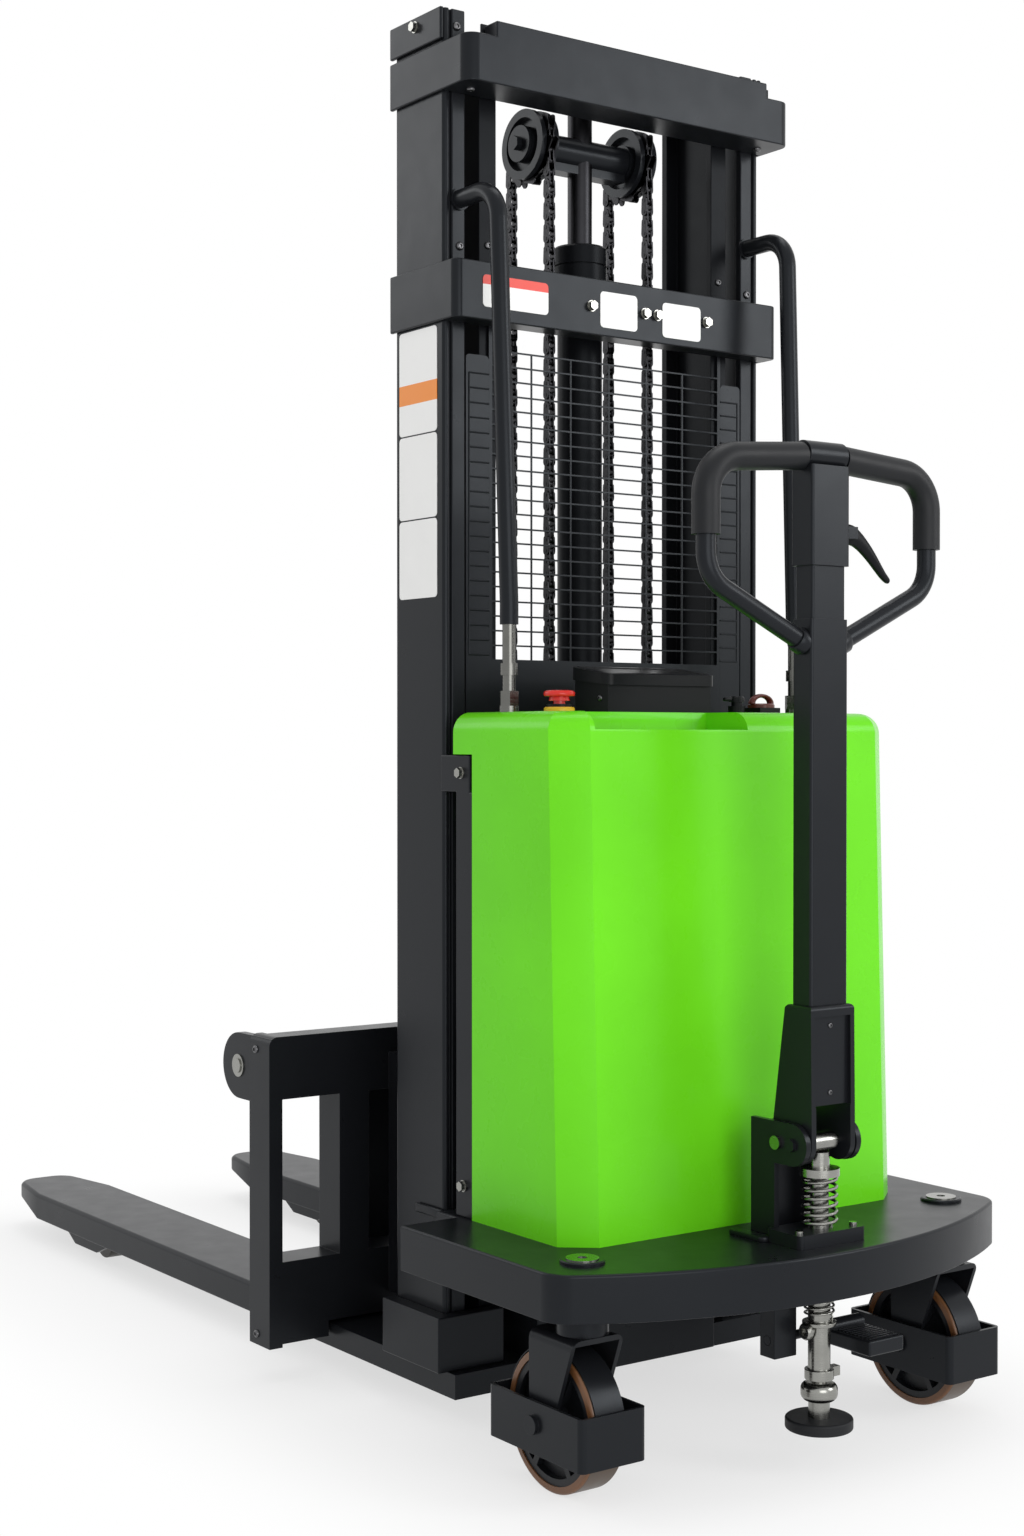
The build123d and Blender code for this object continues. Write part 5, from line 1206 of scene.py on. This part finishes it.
COLUMN_FLANGE = 0.0350
STRIP_GAP = 0.0015
STRIP_FOOT = 0.930
STRIP_TOP = 1.471
STRIP_CORNER = 0.0060
WIRE_RADIUS = 0.0013
WIRE_PITCH = 0.0205
WIRE_ROWS = 20
WIRE_START = 1.0560
WIRE_INSET = 0.0050
WIRE_END_INSET = 0.4 * WIRE_RADIUS


class STACKER_OT_guard_strips(bpy.types.Operator):
    """Fold the guard's side strips beside the columns, with the ends of the mesh wires on them"""

    bl_idname = "stacker.guard_strips"
    bl_label = "Guard strips"

    def execute(self, context):
        low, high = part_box("mesh_guard")
        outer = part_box("columns")[1].x - COLUMN_FLANGE - STRIP_GAP
        strip = add_block("strip", (high.x, low.y, STRIP_FOOT), (outer, high.y, STRIP_TOP))
        round_corners(strip, Y, STRIP_CORNER, segments=4)
        first_end = (outer - WIRE_INSET, low.y, WIRE_START)
        last_end = (outer - WIRE_INSET, low.y, WIRE_START + (WIRE_ROWS - 1) * WIRE_PITCH)
        wire = add_round("wire", (high.x, low.y, WIRE_START), first_end, WIRE_RADIUS, sides=8)
        pick(wire, "FACE", facing(RIGHTWARD))
        bpy.ops.mesh.inset(thickness=WIRE_END_INSET)
        repeat(wire, (0, 0, WIRE_PITCH), WIRE_ROWS)
        rod = add_round("rod", first_end, last_end, WIRE_RADIUS, sides=8)
        right = join("guard_strip_right", [strip, wire, rod])
        left = copy_to(right, "guard_strip_left", ORIGIN)
        pick_all(left)
        bpy.ops.transform.resize(value=(-1, 1, 1), center_override=ORIGIN)
        bpy.ops.mesh.normals_make_consistent(inside=False)
        for piece in (right, left):
            dress(piece, finish_of("mesh_guard"))
            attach(piece, "chassis")
        return {"FINISHED"}


COLLAR_PROFILE = [(-0.0030, 0.0165), (0.0090, 0.0165), (0.0120, 0.0146)]
# Rise of the handle loop's lower leg over its run, and where it leaves the arm in x and z
COLLAR_RISE = 92 / 193
COLLAR_SEAT = (0.0320, 1.0622)
WASHER_PROFILE = [(0.0, 0.0285), (0.0030, 0.0285), (0.0045, 0.0268)]
PEDAL_WIDTH = 0.062
PEDAL_TOP = 0.165
RIB_COUNT = 9
RIB_PITCH = 0.0070
RIB_SIDE = 0.0060
RIB_DEPTH = 0.0032
RIB_HEIGHT = 0.0014
RIB_ROUND = 0.0006
FOOT_BAR = ((-0.068, -0.905), (-0.050, -0.835))
FOOT_BAR_HEIGHT = 0.0070
FOOT_BAR_END = 0.0088
FOOT_BAR_ROUND = 0.0010
BEAM_TABS = {"beam_tab_left": (-0.248, -0.223), "beam_tab_right": (0.226, 0.278)}
TAB_FOOT = 1.891
TAB_TOP = 1.916
TAB_REAR = -0.5315
TAB_FRONT = -0.5280
TAB_ROUND = 0.0012
CLIP_FOOT = 0.278
CLIP_TOP = 0.291
CLIP_LENGTH = 0.0650
CLIP_THICKNESS = 0.0060
CLIP_ROUND = 0.0025
FENDER_GAP = 0.0012
FENDER_WALL = 0.0015
FENDER_WIDTH = 0.0440
FENDER_FOOT = 0.0120


def wheel_fender(name, wheel):
    """A thin curved guard over the upper part of a wheel."""
    low, high, spot = span(wheel)
    half = Vector((FENDER_WIDTH / 2, 0, 0))
    radius = (high.z - low.z) / 2 + FENDER_GAP
    fender = add_round(name, spot - half, spot + half, radius, sides=64)
    pick(fender, "FACE", is_end)
    bpy.ops.mesh.delete(type="FACE")
    pick_all(fender)
    foot = spot + FENDER_FOOT * Vector(UP)
    bpy.ops.mesh.bisect(plane_co=foot, plane_no=UP, clear_inner=True)
    wall = fender.modifiers.new("Wall", "SOLIDIFY")
    wall.thickness = FENDER_WALL
    wall.offset = 1.0
    apply_modifiers(fender)
    return fender


class STACKER_OT_trim(bpy.types.Operator):
    """Add the collars, washers, fenders, pedal ribs and the small bars of the frame"""

    bl_idname = "stacker.trim"
    bl_label = "Trim"

    def execute(self, context):
        arm_y = middle_of("tiller_arm").y
        plate_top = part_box("base_plate")[1].z
        column_low, column_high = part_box("columns")
        seat_x, seat_z = COLLAR_SEAT
        castor_x, castor_y = CASTOR_PLACE
        pieces = []
        for side, sign in SIDES.items():
            seat = (sign * seat_x, arm_y, seat_z)
            way = (sign, 0, COLLAR_RISE)
            collar = turned(f"loop_collar_{side}", seat, way, COLLAR_PROFILE, sides=28)
            pieces.append((collar, "tiller"))
            seat = (sign * castor_x, castor_y, plate_top)
            washer = turned(f"castor_washer_{side}", seat, UP, WASHER_PROFILE, sides=40)
            pieces.append((washer, "chassis"))
            fender = wheel_fender(f"castor_fender_{side}", f"castor_tread_{side}")
            pieces.append((fender, f"castor_fork_{side}"))
            near, far = sorted((sign * column_high.x, sign * (column_high.x + CLIP_THICKNESS)))
            clip = add_block(
                f"column_clip_{side}", (near, column_low.y, CLIP_FOOT),
                (far, column_low.y + CLIP_LENGTH, CLIP_TOP),
            )
            soften(clip, CLIP_ROUND, segments=3)
            pieces.append((clip, "chassis"))

        pedal_low, pedal_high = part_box("lock_pedal")
        rib_left = pedal_high.x - PEDAL_WIDTH + RIB_SIDE
        rib_rear = pedal_low.y + RIB_SIDE
        ribs = add_block(
            "pedal_ribs", (rib_left, rib_rear, PEDAL_TOP),
            (pedal_high.x - RIB_SIDE, rib_rear + RIB_DEPTH, PEDAL_TOP + RIB_HEIGHT),
        )
        soften(ribs, RIB_ROUND, segments=2)
        repeat(ribs, (0, RIB_PITCH, 0), RIB_COUNT)
        pieces.append((ribs, "floor_lock_pedal"))

        bar_low, bar_high = FOOT_BAR
        bar = add_block("foot_bar", (*bar_low, plate_top), (*bar_high, plate_top + FOOT_BAR_HEIGHT))
        round_corners(bar, Z, FOOT_BAR_END, segments=6)
        soften(bar, FOOT_BAR_ROUND, segments=2)
        pieces.append((bar, "chassis"))

        for name, (left, right) in BEAM_TABS.items():
            tab = add_block(name, (left, TAB_REAR, TAB_FOOT), (right, TAB_FRONT, TAB_TOP))
            soften(tab, TAB_ROUND, segments=2)
            pieces.append((tab, "chassis"))

        for piece, body in pieces:
            dress(piece, finish_of("base_plate"))
            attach(piece, body)
        return {"FINISHED"}


# ---------- Stage ----------

CAMERA_PLACE = (-1.9593, -2.9986, 0.9346)
CAMERA_TURN = (math.radians(89.322), 0.0, math.radians(-35.548))
CAMERA_LENS = 51.33
SENSOR_WIDTH = 36.0
LAMP_TARGET = Vector((0.0, -0.55, 0.95))
# Name: place, size and the setting of the power
LAMPS = {
    "fill_lamp": ((-1.0, -4.2, 1.1), 2.4, "fill_power"),
    "key_lamp": ((3.1, -4.4, 2.6), 2.0, "key_power"),
    "side_lamp": ((-2.75, 3.3, 3.1), 1.7, "side_power"),
    "top_lamp": ((0.3, -0.3, 4.6), 2.0, "top_power"),
}
FLOOR_RADIUS = 4.0
FLOOR_SIDES = 96
FLOOR_FADE = 0.34
MACHINE_HALF = (0.40, 0.95, 0.0)
WHITE = (1, 1, 1)


def add_lamp(name, place, size, power):
    """A square soft lamp that looks at the middle of the machine."""
    lamp = bpy.data.lights.new(name, "AREA")
    lamp.size = size
    lamp.energy = power
    holder = bpy.data.objects.new(name, lamp)
    holder.location = place
    holder.rotation_euler = (LAMP_TARGET - Vector(place)).to_track_quat("-Z", "Y").to_euler()
    bpy.context.scene.collection.objects.link(holder)


def white_world(ambient):
    """White where the camera, a reflection or glass sees it, and softer as light."""
    world = bpy.data.worlds.new("white_studio")
    bpy.context.scene.world = world
    graph = Graph(world)
    light = graph.node("ShaderNodeBackground", {}, {"Color": WHITE, "Strength": ambient})
    white = graph.node("ShaderNodeBackground", {}, {"Color": WHITE, "Strength": 1.0})
    shown = graph.node("ShaderNodeMixShader", {}, {0: graph.seen(), 1: light, 2: white})
    graph.node("ShaderNodeOutputWorld", {}, {"Surface": shown})


def floor_finish(colour, glow):
    """A pale floor that is partly plain white as it is seen, more so away from the machine."""
    material, graph, place = new_finish("pale_floor")
    from_middle = graph.vector_math("ABSOLUTE", {0: place})
    past_machine = graph.vector_math("SUBTRACT", {0: from_middle, 1: MACHINE_HALF})
    outside = graph.vector_math("MAXIMUM", {0: past_machine, 1: ORIGIN})
    distance = graph.vector_math("LENGTH", {0: outside}, "Value")
    fade = graph.node(
        "ShaderNodeMapRange", {"interpolation_type": "SMOOTHSTEP"},
        {"Value": distance, "From Min": 0.0, "From Max": FLOOR_FADE, "To Min": glow, "To Max": 1.0},
    )
    painted_shade_paint = graph.node("ShaderNodeBsdfDiffuse", {}, {"Color": colour, "Roughness": 0.0})
    white = graph.node("ShaderNodeEmission", {}, {"Color": WHITE, "Strength": 1.0})
    shown = graph.node("ShaderNodeMixShader", {}, {0: fade * graph.seen(), 1: painted_shade_paint, 2: white})
    graph.node("ShaderNodeOutputMaterial", {}, {"Surface": shown})
    return material


class STACKER_OT_stage(bpy.types.Operator):
    """Set up the floor, the lamps, the white background and the camera"""

    bl_idname = "stacker.stage"
    bl_label = "Stage"

    def execute(self, context):
        stage = context.scene.stacker_stage
        clear_selection()
        bpy.ops.mesh.primitive_circle_add(
            vertices=FLOOR_SIDES, radius=FLOOR_RADIUS, fill_type="NGON", location=ORIGIN
        )
        floor = begin("floor")
        floor.data.materials.append(floor_finish(stage.floor, stage.floor_glow))
        white_world(stage.ambient)
        for name, (place, size, power) in LAMPS.items():
            add_lamp(name, place, size, getattr(stage, power))
        camera = bpy.data.cameras.new("photo_camera")
        camera.lens = CAMERA_LENS
        camera.sensor_width = SENSOR_WIDTH
        holder = bpy.data.objects.new("photo_camera", camera)
        holder.location = CAMERA_PLACE
        holder.rotation_euler = CAMERA_TURN
        context.scene.collection.objects.link(holder)
        context.scene.camera = holder
        context.scene.view_settings.view_transform = "Standard"
        return {"FINISHED"}


# ---------- Panel and registration ----------

OPERATORS = [
    STACKER_OT_stage,
    STACKER_OT_painted_frame,
    STACKER_OT_cover,
    STACKER_OT_bare_metal,
    STACKER_OT_plastics,
    STACKER_OT_chains,
    STACKER_OT_blank_plates,
    STACKER_OT_switches,
    STACKER_OT_box_lid,
    STACKER_OT_lever_blade,
    STACKER_OT_plunger_coil,
    STACKER_OT_screws,
    STACKER_OT_guard_strips,
    STACKER_OT_trim,
]
SETTINGS = {"stacker_finish": FinishSettings, "stacker_chain": ChainSettings, "stacker_stage": StageSettings}


class STACKER_PT_panel(bpy.types.Panel):
    """Lists the settings and the operators of the stacker"""

    bl_idname = "STACKER_PT_panel"
    bl_label = "Stacker"
    bl_space_type = "VIEW_3D"
    bl_region_type = "UI"
    bl_category = "Stacker"

    def draw(self, context):
        for name in SETTINGS:
            box = self.layout.box()
            group = getattr(context.scene, name)
            for key in group.bl_rna.properties.keys():
                if key not in ("rna_type", "name"):
                    box.prop(group, key)
        for operator in OPERATORS:
            self.layout.operator(operator.bl_idname)


def register():
    for group in SETTINGS.values():
        bpy.utils.register_class(group)
    for name, group in SETTINGS.items():
        setattr(bpy.types.Scene, name, PointerProperty(type=group))
    for operator in OPERATORS:
        bpy.utils.register_class(operator)
    bpy.utils.register_class(STACKER_PT_panel)


def unregister():
    bpy.utils.unregister_class(STACKER_PT_panel)
    for operator in reversed(OPERATORS):
        bpy.utils.unregister_class(operator)
    for name, group in SETTINGS.items():
        delattr(bpy.types.Scene, name)
        bpy.utils.unregister_class(group)


def main():
    register()
    bpy.ops.stacker.stage()
    bpy.ops.stacker.painted_frame()
    bpy.ops.stacker.cover()
    bpy.ops.stacker.bare_metal()
    bpy.ops.stacker.plastics()
    bpy.ops.stacker.chains()
    bpy.ops.stacker.blank_plates()
    bpy.ops.stacker.switches()
    bpy.ops.stacker.box_lid()
    bpy.ops.stacker.lever_blade()
    bpy.ops.stacker.plunger_coil()
    bpy.ops.stacker.screws()
    bpy.ops.stacker.guard_strips()
    bpy.ops.stacker.trim()
    clear_selection()


if __name__ == "__main__":
    main()
